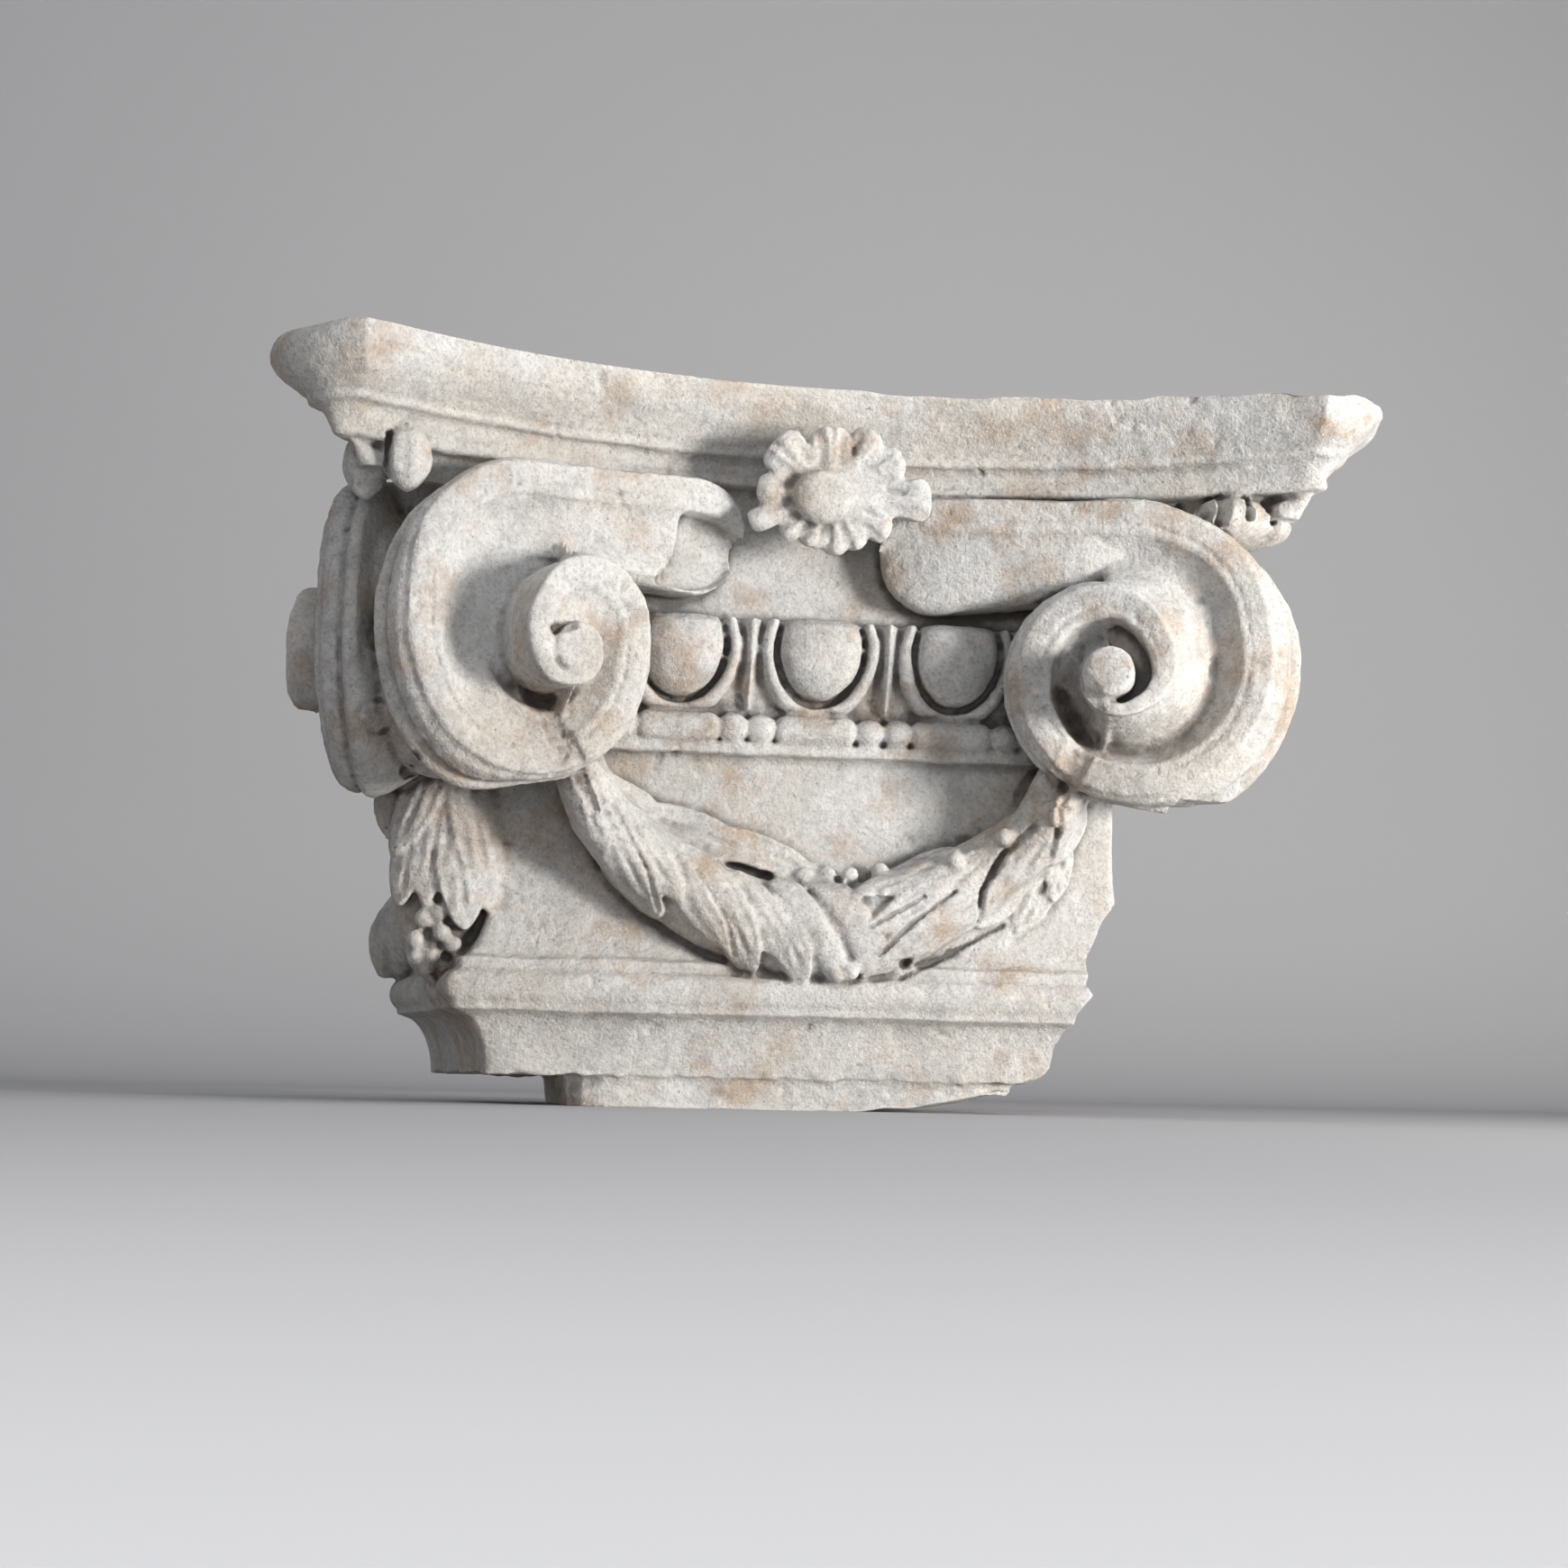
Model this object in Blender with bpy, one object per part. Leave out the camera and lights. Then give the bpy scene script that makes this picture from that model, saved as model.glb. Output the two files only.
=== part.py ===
"""Ionic capital with corner volutes, half the depth of a free-standing one, carved from one marble block.

The front faces -Y, the flat sawn back stands on the +Y side, and the origin is the middle of the
underside's depth, on the axis of the capital. The right flank and the lower edges are broken, as found.
"""
import math

import bmesh
import bpy
import numpy as np

# Heights of the courses, from the underside up
FOOT_HEIGHT = 0.024
CAVETTO_HEIGHT = 0.051
LOW_FILLET_HEIGHT = 0.004
TORUS_HEIGHT = 0.028
TOP_FILLET_HEIGHT = 0.010
NECK_HEIGHT = 0.171
ASTRAGAL_FILLET_HEIGHT = 0.010
BEAD_DIAMETER = 0.024
EGG_BAND_HEIGHT = 0.076
BELL_HEIGHT = 0.115
ABACUS_FASCIA_HEIGHT = 0.019
ABACUS_BAND_HEIGHT = 0.053

# Plan sizes, measured forward or sideways from the axis
NECK_HALF_WIDTH = 0.258
NECK_FLARE = 0.018
FOOT_SETBACK = 0.003
FOOT_HALF_WIDTH = 0.192
CAVETTO_PROJECTION = 0.030
TORUS_PROJECTION = 0.038
FILLET_PROJECTION = 0.028
BEAD_PROJECTION = 0.014
EGG_BAND_PROJECTION = 0.040
BELL_PROJECTION = 0.022
SIDE_SPLAY = 0.040
CORNER_ROUND = 0.006

# Abacus: the corner point, the chamfered horn and the hollow of each side
ABACUS_CORNER = 0.375
ABACUS_REACH = 0.450
ABACUS_CENTRE = 0.324
BAND_FOOT_SETBACK = 0.035
FASCIA_FOOT_SETBACK = 0.048
HORN_TAPER = 0.068
HORN_BULGE = 0.006

# Scrolls: outer radius at each quarter turn, from the top round to the eye
SCROLL_RADII = (0.142, 0.124, 0.095, 0.077, 0.069, 0.049, 0.032, 0.025, 0.021)
SCROLL_POLE_X = 0.222
SCROLL_POLE_DEPTH = 0.372
SCROLL_TURN = math.radians(17.3)
SCROLL_DROP = 0.165
COIL_RISE = 0.050
RIM_WIDTH = 0.024
CANAL_DEPTH = 0.014
EYE_RADIUS = 0.021
EYE_RISE = 0.054
RIGHT_ARM_LENGTH = 0.145
LEFT_ARM_LENGTH = 0.120
ARM_TOP = 0.152
ARM_BOTTOM = 0.056
ARM_LAP = 1.16
BOLSTER_THICKNESS = 0.035
CHANNEL_DEPTH = 0.020

# Ornament
EGG_SPACING = 0.114
EGG_HALF_WIDTH = 0.032
EGG_RELIEF = 0.024
SHELL_WIDTH = 0.011
SHELL_RELIEF = 0.016
ROSETTE_HALF_WIDTH = 0.070
ROSETTE_HALF_HEIGHT = 0.055
ROSETTE_BOSS = 0.022
ROSETTE_RELIEF = 0.050
ROSETTE_DROP = 0.021
PETALS = 11
PETAL_CLEFT = 0.24
GARLAND_HALF_SPAN = 0.208
GARLAND_LOW = 0.117
GARLAND_SAG = 0.118
GARLAND_HALF_HEIGHT = 0.042
GARLAND_RELIEF = 0.048
GARLAND_END_REACH = 0.045
LEAF_LENGTH = 0.062
LEAF_WIDTH = 0.034
LEAF_THICKNESS = 0.016
BERRY_RADIUS = 0.008
CORNER_LEAF_RADIUS = 0.032
CORNER_LEAF_HALF_HEIGHT = 0.032
CORNER_LEAF_DROP = 0.022
RIGHT_LEAF_SPREAD = 0.026
LEFT_LEAF_SPREAD = 0.014
CORNER_FILL_PLACE = 0.078
CORNER_FILL_RADIUS = 0.076
CORNER_FILL_HALF_HEIGHT = 0.092

# Broken parts
RIGHT_HORN_WEAR = 0.010
TOP_EDGE_WEAR = 0.009
FLANK_BREAK_TOP = 0.272
FLANK_BREAK_FOOT = 0.176
FLANK_BREAK_DEPTH = -0.235

# Levels that follow from the heights
FOOT_TOP = FOOT_HEIGHT
CAVETTO_TOP = FOOT_TOP + CAVETTO_HEIGHT
TORUS_BASE = CAVETTO_TOP + LOW_FILLET_HEIGHT
TORUS_TOP = TORUS_BASE + TORUS_HEIGHT
NECK_BASE = TORUS_TOP + TOP_FILLET_HEIGHT
NECK_TOP = NECK_BASE + NECK_HEIGHT
BEAD_BASE = NECK_TOP + ASTRAGAL_FILLET_HEIGHT
EGG_BASE = BEAD_BASE + BEAD_DIAMETER
EGG_TOP = EGG_BASE + EGG_BAND_HEIGHT
BELL_TOP = EGG_TOP + BELL_HEIGHT
BAND_BASE = BELL_TOP + ABACUS_FASCIA_HEIGHT
ABACUS_TOP = BAND_BASE + ABACUS_BAND_HEIGHT
POLE_HEIGHT = BELL_TOP - SCROLL_DROP
ORIGIN_DEPTH = (NECK_HALF_WIDTH - FOOT_SETBACK) / 2.0
BEHIND = 0.06

STONE_COLOUR = (0.62, 0.58, 0.53, 1.0)
STONE_ROUGHNESS = 0.85
SCROLL_STEPS = 22
FLAT_ANGLES = (3.0, 2.5, 2.0, 1.5, 1.0, 0.5)


def smooth(value, low, high):
    """Return the smooth step of value from 0 at low to 1 at high."""
    t = np.clip((np.asarray(value, float) - low) / (high - low), 0.0, 1.0)
    return t * t * (3.0 - 2.0 * t)


def mirror_x(points):
    """Reflect points left to right."""
    return np.asarray(points) * (-1.0, 1.0, 1.0)


def to_left_side(points):
    """Carry points of the left half of the front round the corner to the left side."""
    return np.asarray(points)[:, [1, 0, 2]]


def add_body(target, points, faces):
    """Add one closed body to a bmesh, welded, in triangles, with its faces pointing out."""
    bm = bmesh.new()
    vertices = [bm.verts.new(point) for point in points]
    for face in faces:
        bm.faces.new([vertices[index] for index in face])
    bmesh.ops.remove_doubles(bm, verts=bm.verts, dist=0.00005)
    bmesh.ops.dissolve_degenerate(bm, edges=bm.edges, dist=0.00001)
    bmesh.ops.triangulate(bm, faces=bm.faces)
    bmesh.ops.recalc_face_normals(bm, faces=bm.faces)
    mesh = bpy.data.meshes.new("body")
    bm.to_mesh(mesh)
    bm.free()
    target.from_mesh(mesh)
    bpy.data.meshes.remove(mesh)


def mesh_object(name, bodies):
    """Make one object from several closed bodies."""
    bm = bmesh.new()
    for points, faces in bodies:
        add_body(bm, points, faces)
    mesh = bpy.data.meshes.new(name)
    bm.to_mesh(mesh)
    bm.free()
    item = bpy.data.objects.new(name, mesh)
    bpy.context.collection.objects.link(item)
    return item


def ring_faces(rings, sides):
    """Return the faces that skin rings of points, with a cap at each end."""
    faces = []
    for ring in range(rings - 1):
        low = ring * sides
        for side in range(sides):
            turn = (side + 1) % sides
            faces.append((low + side, low + turn, low + sides + turn, low + sides + side))
    faces.append(tuple(range(sides)))
    faces.append(tuple((rings - 1) * sides + side for side in range(sides)))
    return faces


def loft(rings):
    """Skin a stack of rings, each the same number of points."""
    rings = np.asarray(rings, float)
    count, sides = rings.shape[:2]
    return rings.reshape(-1, 3), ring_faces(count, sides)


def ball(centre, radii, around=8, up=4):
    """Return a faceted ellipsoid."""
    points = [np.add(centre, (0, 0, -radii[2]))]
    for step in range(1, up):
        lift = math.pi * step / up - math.pi / 2
        for side in range(around):
            turn = math.tau * side / around
            offset = (radii[0] * math.cos(lift) * math.cos(turn),
                      radii[1] * math.cos(lift) * math.sin(turn),
                      radii[2] * math.sin(lift))
            points.append(np.add(centre, offset))
    points.append(np.add(centre, (0, 0, radii[2])))
    last = len(points) - 1
    faces = []
    for side in range(around):
        turn = (side + 1) % around
        faces.append((0, 1 + turn, 1 + side))
        for step in range(up - 2):
            low = 1 + step * around
            faces.append((low + side, low + turn, low + around + turn, low + around + side))
        faces.append((last - around + side, last - around + turn, last))
    return np.array(points), faces


def block_outline(half_width):
    """Plan of the block: flat back, rounded front corners, left side splayed towards the back."""
    corner = CORNER_ROUND
    back_left = -half_width - SIDE_SPLAY * (half_width / NECK_HALF_WIDTH)
    points = [(half_width, BEHIND), (half_width, -half_width + corner)]
    points += [(half_width - corner, -half_width), (corner - half_width, -half_width)]
    points += [(-half_width, -half_width + corner), (back_left, BEHIND)]
    return points


def body_profile():
    """Return (height, half width) pairs of the moulded body, from the cavetto up to the abacus."""
    neck = NECK_HALF_WIDTH
    rows = [(FOOT_TOP, neck + 0.004)]
    for share in (0.55, 0.8, 1.0):
        sweep = 1.0 - math.sqrt(1.0 - share * share)
        rows.append((FOOT_TOP + CAVETTO_HEIGHT * share, neck + 0.004 + (CAVETTO_PROJECTION - 0.004) * sweep))
    rows.append((TORUS_BASE, neck + CAVETTO_PROJECTION))
    middle = (TORUS_BASE + TORUS_TOP) / 2
    for angle in (-60, -20, 20, 60):
        swell = TORUS_PROJECTION - 0.008 + 0.008 * math.cos(math.radians(angle))
        rows.append((middle + TORUS_HEIGHT / 2 * math.sin(math.radians(angle)), neck + swell))
    rows.append((TORUS_TOP, neck + FILLET_PROJECTION))
    rows.append((NECK_BASE, neck + FILLET_PROJECTION - 0.001))
    for share in (0.02, 0.10, 0.25, 0.60):
        rows.append((NECK_BASE + NECK_HEIGHT * share, neck + NECK_FLARE * math.exp(-7.0 * share)))
    rows.append((NECK_TOP, neck + 0.001))
    rows.append((NECK_TOP + 0.002, neck + BEAD_PROJECTION))
    rows.append((BEAD_BASE, neck + BEAD_PROJECTION))
    rows.append((EGG_BASE, neck + BEAD_PROJECTION - 0.003))
    for share in (0.35, 0.75, 1.0):
        swell = BEAD_PROJECTION + (EGG_BAND_PROJECTION - BEAD_PROJECTION) * math.sin(share * math.pi / 2)
        rows.append((EGG_BASE + EGG_BAND_HEIGHT * share, neck + swell))
    rows.append((EGG_TOP + 0.004, neck + BELL_PROJECTION))
    rows.append((EGG_TOP + BELL_HEIGHT * 0.5, neck + BELL_PROJECTION * 0.75))
    rows.append((BELL_TOP + ABACUS_FASCIA_HEIGHT * 0.5, neck + BELL_PROJECTION * 0.6))
    return rows


def make_body():
    """The moulded core: cavetto, torus, neck and bell in one loft, with the broken foot below."""
    rings = []
    for height, width in body_profile():
        rings.append([(x, y, height) for x, y in block_outline(width)])
    body = mesh_object("capital", [loft(rings)])
    depth = NECK_HALF_WIDTH - FOOT_SETBACK
    foot = []
    for height, grow in ((0.0, 0.0), (FOOT_TOP + 0.01, 0.003)):
        left = -FOOT_HALF_WIDTH - grow
        right = FLANK_BREAK_FOOT + grow
        front = -depth - grow
        foot.append([(left, BEHIND, height), (left, front + 0.02, height), (left + 0.03, front, height),
                     (right - 0.05, front, height), (right, front + 0.02, height), (right, BEHIND, height)])
    return body, mesh_object("foot", [loft(foot)])


def hollow_side(corner, reach, centre, steps):
    """Points of one concave side of the abacus, an arc from its left corner to its right corner."""
    sagitta = reach - centre
    radius = (corner * corner + sagitta * sagitta) / (2.0 * sagitta)
    half = math.asin(corner / radius)
    angles = np.linspace(-half, half, steps + 1)
    return [(radius * math.sin(a), -(centre + radius - radius * math.cos(a))) for a in angles]


def abacus_outline(corner, reach, centre, steps=18):
    """Plan of the abacus at one level: left side, horn, front, horn, right side, flat back."""
    front = hollow_side(corner, reach, centre, steps)
    left_side = [(y, x) for x, y in front if x <= 0.0005][::-1]
    right_side = [(-y, -x) for x, y in front if x >= -0.0005][::-1]
    nose = (corner + reach) / 2.0 + HORN_BULGE
    outline = [(left_side[0][0], BEHIND)] + left_side + [(-nose, -nose)] + front + [(nose, -nose)] + right_side
    return outline + [(right_side[-1][0], BEHIND)]


def make_abacus():
    """The hollow-sided abacus: a narrow fascia, a fillet and a tall flared band."""
    levels = [(BELL_TOP, FASCIA_FOOT_SETBACK, HORN_TAPER), (BELL_TOP + ABACUS_FASCIA_HEIGHT * 0.45, 0.043, 0.056),
              (BAND_BASE - 0.003, 0.037, 0.044), (BAND_BASE, BAND_FOOT_SETBACK, 0.038),
              (BAND_BASE + 0.001, 0.033, 0.036)]
    for share in (0.3, 0.55, 0.78, 0.9, 1.0):
        swell = share ** 1.35
        levels.append((BAND_BASE + ABACUS_BAND_HEIGHT * share, 0.033 * (1 - swell), 0.036 * (1 - swell)))
    rings = []
    for height, setback, taper in levels:
        outline = abacus_outline(ABACUS_CORNER + 0.02 * setback, ABACUS_REACH - taper, ABACUS_CENTRE - setback)
        rings.append([(x, y, height) for x, y in outline])
    return mesh_object("abacus", [loft(rings)])


def scroll_radius(age):
    """Outer radius of the ribbon after so many turns, a smooth curve through the quarter-turn radii."""
    marks = np.arange(len(SCROLL_RADII)) / 4.0
    radii = np.array(SCROLL_RADII)
    slopes = np.gradient(radii, marks)
    age = np.clip(np.asarray(age, float), 0.0, marks[-1])
    low = np.clip((age * 4).astype(int), 0, len(radii) - 2)
    t = age * 4 - low
    step = 0.25
    return ((2 * t**3 - 3 * t**2 + 1) * radii[low] + (t**3 - 2 * t**2 + t) * step * slopes[low]
            + (3 * t**2 - 2 * t**3) * radii[low + 1] + (t**3 - t**2) * step * slopes[low + 1])


def rim_height(age):
    """How far the raised rim stands forward of the scroll's plane after so many turns."""
    return COIL_RISE * smooth(age, 0.35, 1.85)


def scroll_place(p, q, n):
    """Turn scroll coordinates (outward, up, forward) into the block's own."""
    cos, sin = math.cos(SCROLL_TURN), math.sin(SCROLL_TURN)
    p, q, n = np.broadcast_arrays(np.asarray(p, float), q, n)
    x = SCROLL_POLE_X + p * cos - n * sin
    y = -SCROLL_POLE_DEPTH - p * sin - n * cos
    return np.stack([x, y, POLE_HEIGHT + q], axis=-1)


def scroll_slice(age):
    """One radial slice of the scroll's body, from the back of the bolster round to the pole."""
    turn = math.pi / 2 - math.tau * age
    outer = float(scroll_radius(age)) - 0.0015
    inner = float(scroll_radius(age + 1.0))
    rim, coil = float(rim_height(age)), float(rim_height(age + 1.0))
    outward = float(smooth(math.cos(turn), -0.2, 0.9))
    upper = float(smooth(math.sin(turn), -0.25, 0.25))
    inner_rim = min(RIM_WIDTH * 0.5, (inner - EYE_RADIUS) * 0.5)
    thick = BOLSTER_THICKNESS
    stations = (
        (0.0, -0.02, thick * 4.2, -0.02),
        (outer * 0.40, -0.02, thick * 4.2, -0.02),
        (outer * 0.72, -0.02, thick * 2.0, 0.2 * thick * outward),
        (outer - CHANNEL_DEPTH * upper, 0.0, thick, thick * outward),
        (outer + 0.006, rim * 0.5, thick * 0.68, thick * 0.70 * outward),
        (outer, rim - 0.003, 0.0, 0.0),
        (outer - RIM_WIDTH * 0.9, rim - 0.005, 0.0, 0.0),
        ((outer + inner) / 2 - RIM_WIDTH * 0.3, rim - CANAL_DEPTH, 0.0, 0.0),
        (inner - 0.001, rim - CANAL_DEPTH * 1.3, 0.0, 0.0),
        (inner - inner_rim, coil - 0.006, 0.0, 0.0),
        (inner - 1.7 * inner_rim, coil - CANAL_DEPTH, 0.0, 0.0),
        (0.0, EYE_RISE - CANAL_DEPTH, 0.0, 0.0))
    points = []
    for radius, height, back, aside in stations:
        point = scroll_place(radius * math.cos(turn), radius * math.sin(turn), height)
        points.append(point + np.array([aside, back, 0.0]))
    return points


def scroll_drum(steps):
    """The body of the scroll in two halves: its canal floor in front, the corner bolster behind."""
    lap = 0.004
    halves = []
    for first, last in ((-lap, 0.5 + lap), (0.5 - lap, 1.0 + lap)):
        ages = np.linspace(first, last, steps // 2 + 1)
        halves.append(loft([scroll_slice(age) for age in ages]))
    return halves


def scroll_rim(steps):
    """The raised rim, a flat band that follows the spiral in to the eye."""
    rings = []
    turns = len(SCROLL_RADII) / 4.0 - 0.3
    for age in np.linspace(-0.01, turns, int(steps * turns)):
        turn = math.pi / 2 - math.tau * age
        outer = float(scroll_radius(max(age, 0.0)))
        width = RIM_WIDTH * (1.0 - 0.55 * float(smooth(age, 0.5, turns)))
        top = float(rim_height(age))
        root = top - 0.012 - 0.022 * float(smooth(age, 0.7, 1.2))
        section = []
        for radius, height in ((outer, root), (outer, top), (outer - width, top), (outer - width, root)):
            point = scroll_place(radius * math.cos(turn), radius * math.sin(turn), height)
            section.append(tuple(point))
        rings.append(section)
    return loft(rings)


def scroll_eye(sides):
    """The round boss in the middle of the coil."""
    turns = np.arange(sides) * math.tau / sides
    rings = []
    for share, height in ((1.0, 0.0), (1.0, EYE_RISE - 0.004), (0.8, EYE_RISE)):
        radius = EYE_RADIUS * share
        rings.append(scroll_place(radius * np.cos(turns), radius * np.sin(turns), height))
    return loft(rings)


def scroll_arm(length):
    """The straight start of the scroll under the abacus, a canal between rim and lip, with a round end."""
    middle = (ARM_TOP + ARM_BOTTOM) / 2
    top_drop = ARM_TOP - SCROLL_RADII[0]
    foot_lift = SCROLL_RADII[4] - ARM_BOTTOM

    def section(share):
        """Cross-section of the arm, from its round end (0) to where the coil takes over (1)."""
        top = ARM_TOP - top_drop * share
        foot = ARM_BOTTOM + foot_lift * share
        return [(top, 0.0), (top - RIM_WIDTH, 0.0), (top - RIM_WIDTH - 0.002, -0.005),
                ((top + foot) / 2, -CANAL_DEPTH), (foot + 0.016, -CANAL_DEPTH), (foot + 0.006, -0.008),
                (foot, -0.014), (foot + 0.004, -0.085), (top, -0.085)]

    rings = []
    for bend in (75, 50, 25):
        squeeze = math.cos(math.radians(bend))
        p = -length - (ARM_TOP - ARM_BOTTOM) / 2 * math.sin(math.radians(bend))
        rings.append(scroll_place(p, [middle + (q - middle) * squeeze for q, n in section(0.0)],
                                  [n - 0.006 * (1 - squeeze) for q, n in section(0.0)]))
    for share in (0.0, 0.55, ARM_LAP):
        cut = section(share)
        rings.append(scroll_place(length * (share - 1.0), [q for q, n in cut], [n for q, n in cut]))
    return loft(rings)


def scroll_parts(arm_length):
    """Return the closed bodies of the right front scroll."""
    return scroll_drum(SCROLL_STEPS) + [scroll_rim(SCROLL_STEPS), scroll_eye(10), scroll_arm(arm_length)]


def corner_filler():
    """The stone between two scrolls of one corner, behind their channel."""
    centre = SCROLL_POLE_X + CORNER_FILL_PLACE
    radii = (CORNER_FILL_RADIUS, CORNER_FILL_RADIUS, CORNER_FILL_HALF_HEIGHT)
    return ball((centre, -centre, POLE_HEIGHT), radii, 10, 6)


def corner_leaf(spread):
    """The curled leaf tip that carries the abacus horn over the scrolls."""
    bodies = []
    for step, size in ((-1.0, 0.8), (0.0, 1.0), (1.0, 0.8)):
        reach = ABACUS_CORNER - 0.020 - 0.5 * spread * abs(step)
        shift = step * spread
        centre = (reach + shift, shift - reach, BELL_TOP - CORNER_LEAF_DROP)
        radii = (CORNER_LEAF_RADIUS * size, CORNER_LEAF_RADIUS * size, CORNER_LEAF_HALF_HEIGHT * size)
        bodies.append(ball(centre, radii, 7, 4))
    return bodies


def egg(centre):
    """One egg of the band, cut level at the top."""
    depth = NECK_HALF_WIDTH + EGG_BAND_PROJECTION - 0.010
    rings = []
    for share, width in ((0.0, 0.25), (0.12, 0.62), (0.35, 0.90), (0.65, 1.0), (0.94, 0.94)):
        height = EGG_BASE + 0.012 + (EGG_BAND_HEIGHT - 0.012) * share
        back = depth - 0.022 * (1.0 - share)
        ring = []
        for side in range(7):
            angle = math.tau * (side - 0.25) / 7
            x = centre + EGG_HALF_WIDTH * width * math.cos(angle)
            y = -back - EGG_RELIEF * width * math.sin(angle)
            ring.append((x, y, height))
        rings.append(ring)
    return loft(rings)


def egg_shell(centre):
    """The raised shell that cups an egg, a band bent into a U."""
    radius = EGG_HALF_WIDTH + 0.010
    rings = []
    for angle in np.linspace(-15, 195, 8):
        a = math.radians(angle)
        height = EGG_BASE + EGG_BAND_HEIGHT * 0.62 - (EGG_BAND_HEIGHT * 0.60) * max(math.sin(a), -0.5)
        height = min(height, EGG_TOP - 0.002)
        share = (height - EGG_BASE) / EGG_BAND_HEIGHT
        face = NECK_HALF_WIDTH + BEAD_PROJECTION + 0.026 * math.sin(max(share, 0.0) * math.pi / 2)
        x, dx, dz = centre + radius * math.cos(a), math.cos(a), -math.sin(a)
        ring = []
        for across, lift in ((-0.5, -0.02), (-0.5, SHELL_RELIEF * 0.6), (0.5, SHELL_RELIEF * 0.6), (0.5, -0.02)):
            ring.append((x + dx * across * SHELL_WIDTH, -face - lift, height + dz * across * SHELL_WIDTH))
        rings.append(ring)
    return loft(rings)


def dart(centre):
    """The pointed tongue between two shells."""
    face = NECK_HALF_WIDTH + BEAD_PROJECTION
    rings = []
    for share, width in ((0.04, 0.002), (0.35, 0.005), (0.96, 0.009)):
        height = EGG_BASE + EGG_BAND_HEIGHT * share
        depth = face + 0.026 * math.sin(share * math.pi / 2)
        rings.append([(centre - width, -depth + 0.02, height), (centre, -depth - SHELL_RELIEF * 0.7, height),
                      (centre + width, -depth + 0.02, height)])
    return loft(rings)


def bead_string(first, last):
    """Long beads with pairs of round beads between them, one turned string."""
    radius = BEAD_DIAMETER / 2
    small = EGG_SPACING * 0.215
    stations = []
    for step in range(first, last + 1):
        middle = step * EGG_SPACING
        end = (EGG_SPACING - 2 * small) / 2
        stations += [(middle - end, 0.45), (middle - end + 0.006, 0.95), (middle + end - 0.006, 0.95)]
        for number in range(2):
            start = middle + end + number * small
            stations += [(start, 0.45), (start + small * 0.25, 0.9), (start + small * 0.75, 0.9)]
    stations.append((stations[-1][0] + small * 0.25, 0.45))
    rings = []
    for x, share in stations:
        ring = []
        for side in range(5):
            angle = math.tau * (side + 0.5) / 5
            ring.append((x, -NECK_HALF_WIDTH - BEAD_PROJECTION - radius * share * math.cos(angle) * 0.9,
                         BEAD_BASE + radius + radius * share * math.sin(angle)))
        rings.append(ring)
    return loft(rings)


def rosette():
    """The flower in the middle of the abacus: a ring of blunt petals, parted by clefts, round a boss."""
    front = ABACUS_CENTRE + ROSETTE_RELIEF * 0.4
    centre = np.array([0.0, -front, BELL_TOP - ROSETTE_DROP])
    tilt = math.radians(12)
    out = np.array([0.0, -math.cos(tilt), -math.sin(tilt)])
    up = np.array([0.0, -math.sin(tilt), math.cos(tilt)])
    side = np.array([1.0, 0.0, 0.0])
    rows = ((0.97, -0.055, 1.0), (1.0, -0.004, 1.0), (0.60, 0.004, 0.3), (0.30, -0.002, 0.0))
    rings = []
    for radius, lift, cleft in rows:
        ring = []
        for petal in range(PETALS):
            for part, notch in ((0.0, 1.0), (0.30, 0.0), (0.70, 0.0)):
                angle = math.tau * (petal + part) / PETALS
                reach = radius * (1.0 - PETAL_CLEFT * cleft * notch)
                ring.append(centre + side * ROSETTE_HALF_WIDTH * reach * math.cos(angle)
                            + up * ROSETTE_HALF_HEIGHT * reach * math.sin(angle) + out * (lift - 0.006 * notch))
        rings.append(ring)
    boss = []
    for share, lift in ((1.0, -0.03), (1.0, 0.004), (0.72, 0.013), (0.3, 0.017)):
        ring = []
        for step in range(12):
            angle = math.tau * step / 12
            reach = ROSETTE_BOSS * share
            ring.append(centre + side * reach * math.cos(angle) + up * reach * math.sin(angle) + out * lift)
        boss.append(ring)
    return [loft(rings), loft(boss)]


def garland_point(u):
    """Centre line of the garland: u runs from -1 at the left coil to 1 at the right one."""
    x = GARLAND_HALF_SPAN * u
    z = GARLAND_LOW + 0.024 + GARLAND_SAG * abs(u) ** 1.8 + 0.030 * float(smooth(abs(u), 0.85, 1.0))
    y = -NECK_HALF_WIDTH - 0.010 - GARLAND_END_REACH * float(smooth(abs(u), 0.62, 1.0))
    return np.array([x, y, z])


def garland_frame(u):
    """Centre, direction along the garland and direction across it."""
    here = garland_point(u)
    ahead = garland_point(u + 0.01) - garland_point(u - 0.01)
    ahead = ahead / np.linalg.norm(ahead)
    across = np.cross((0.0, -1.0, 0.0), ahead)
    return here, ahead, across / np.linalg.norm(across)


def garland_size(u):
    """Half height and relief of the garland."""
    taper = 1.0 - 0.52 * abs(u) ** 1.4
    return GARLAND_HALF_HEIGHT * taper, GARLAND_RELIEF * (0.45 + 0.55 * taper)


def garland_core(first=-1.0, last=1.0, steps=14):
    """The thick core of the swag under its leaves."""
    rings = []
    for u in np.linspace(first, last, steps):
        here, ahead, across = garland_frame(u)
        high, deep = garland_size(u)
        ring = []
        for side in range(7):
            angle = math.tau * side / 7
            ring.append(here + across * high * 0.9 * math.sin(angle)
                        + np.array([0.0, -1.0, 0.0]) * deep * 0.85 * math.cos(angle))
        rings.append(ring)
    return loft(rings)


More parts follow.
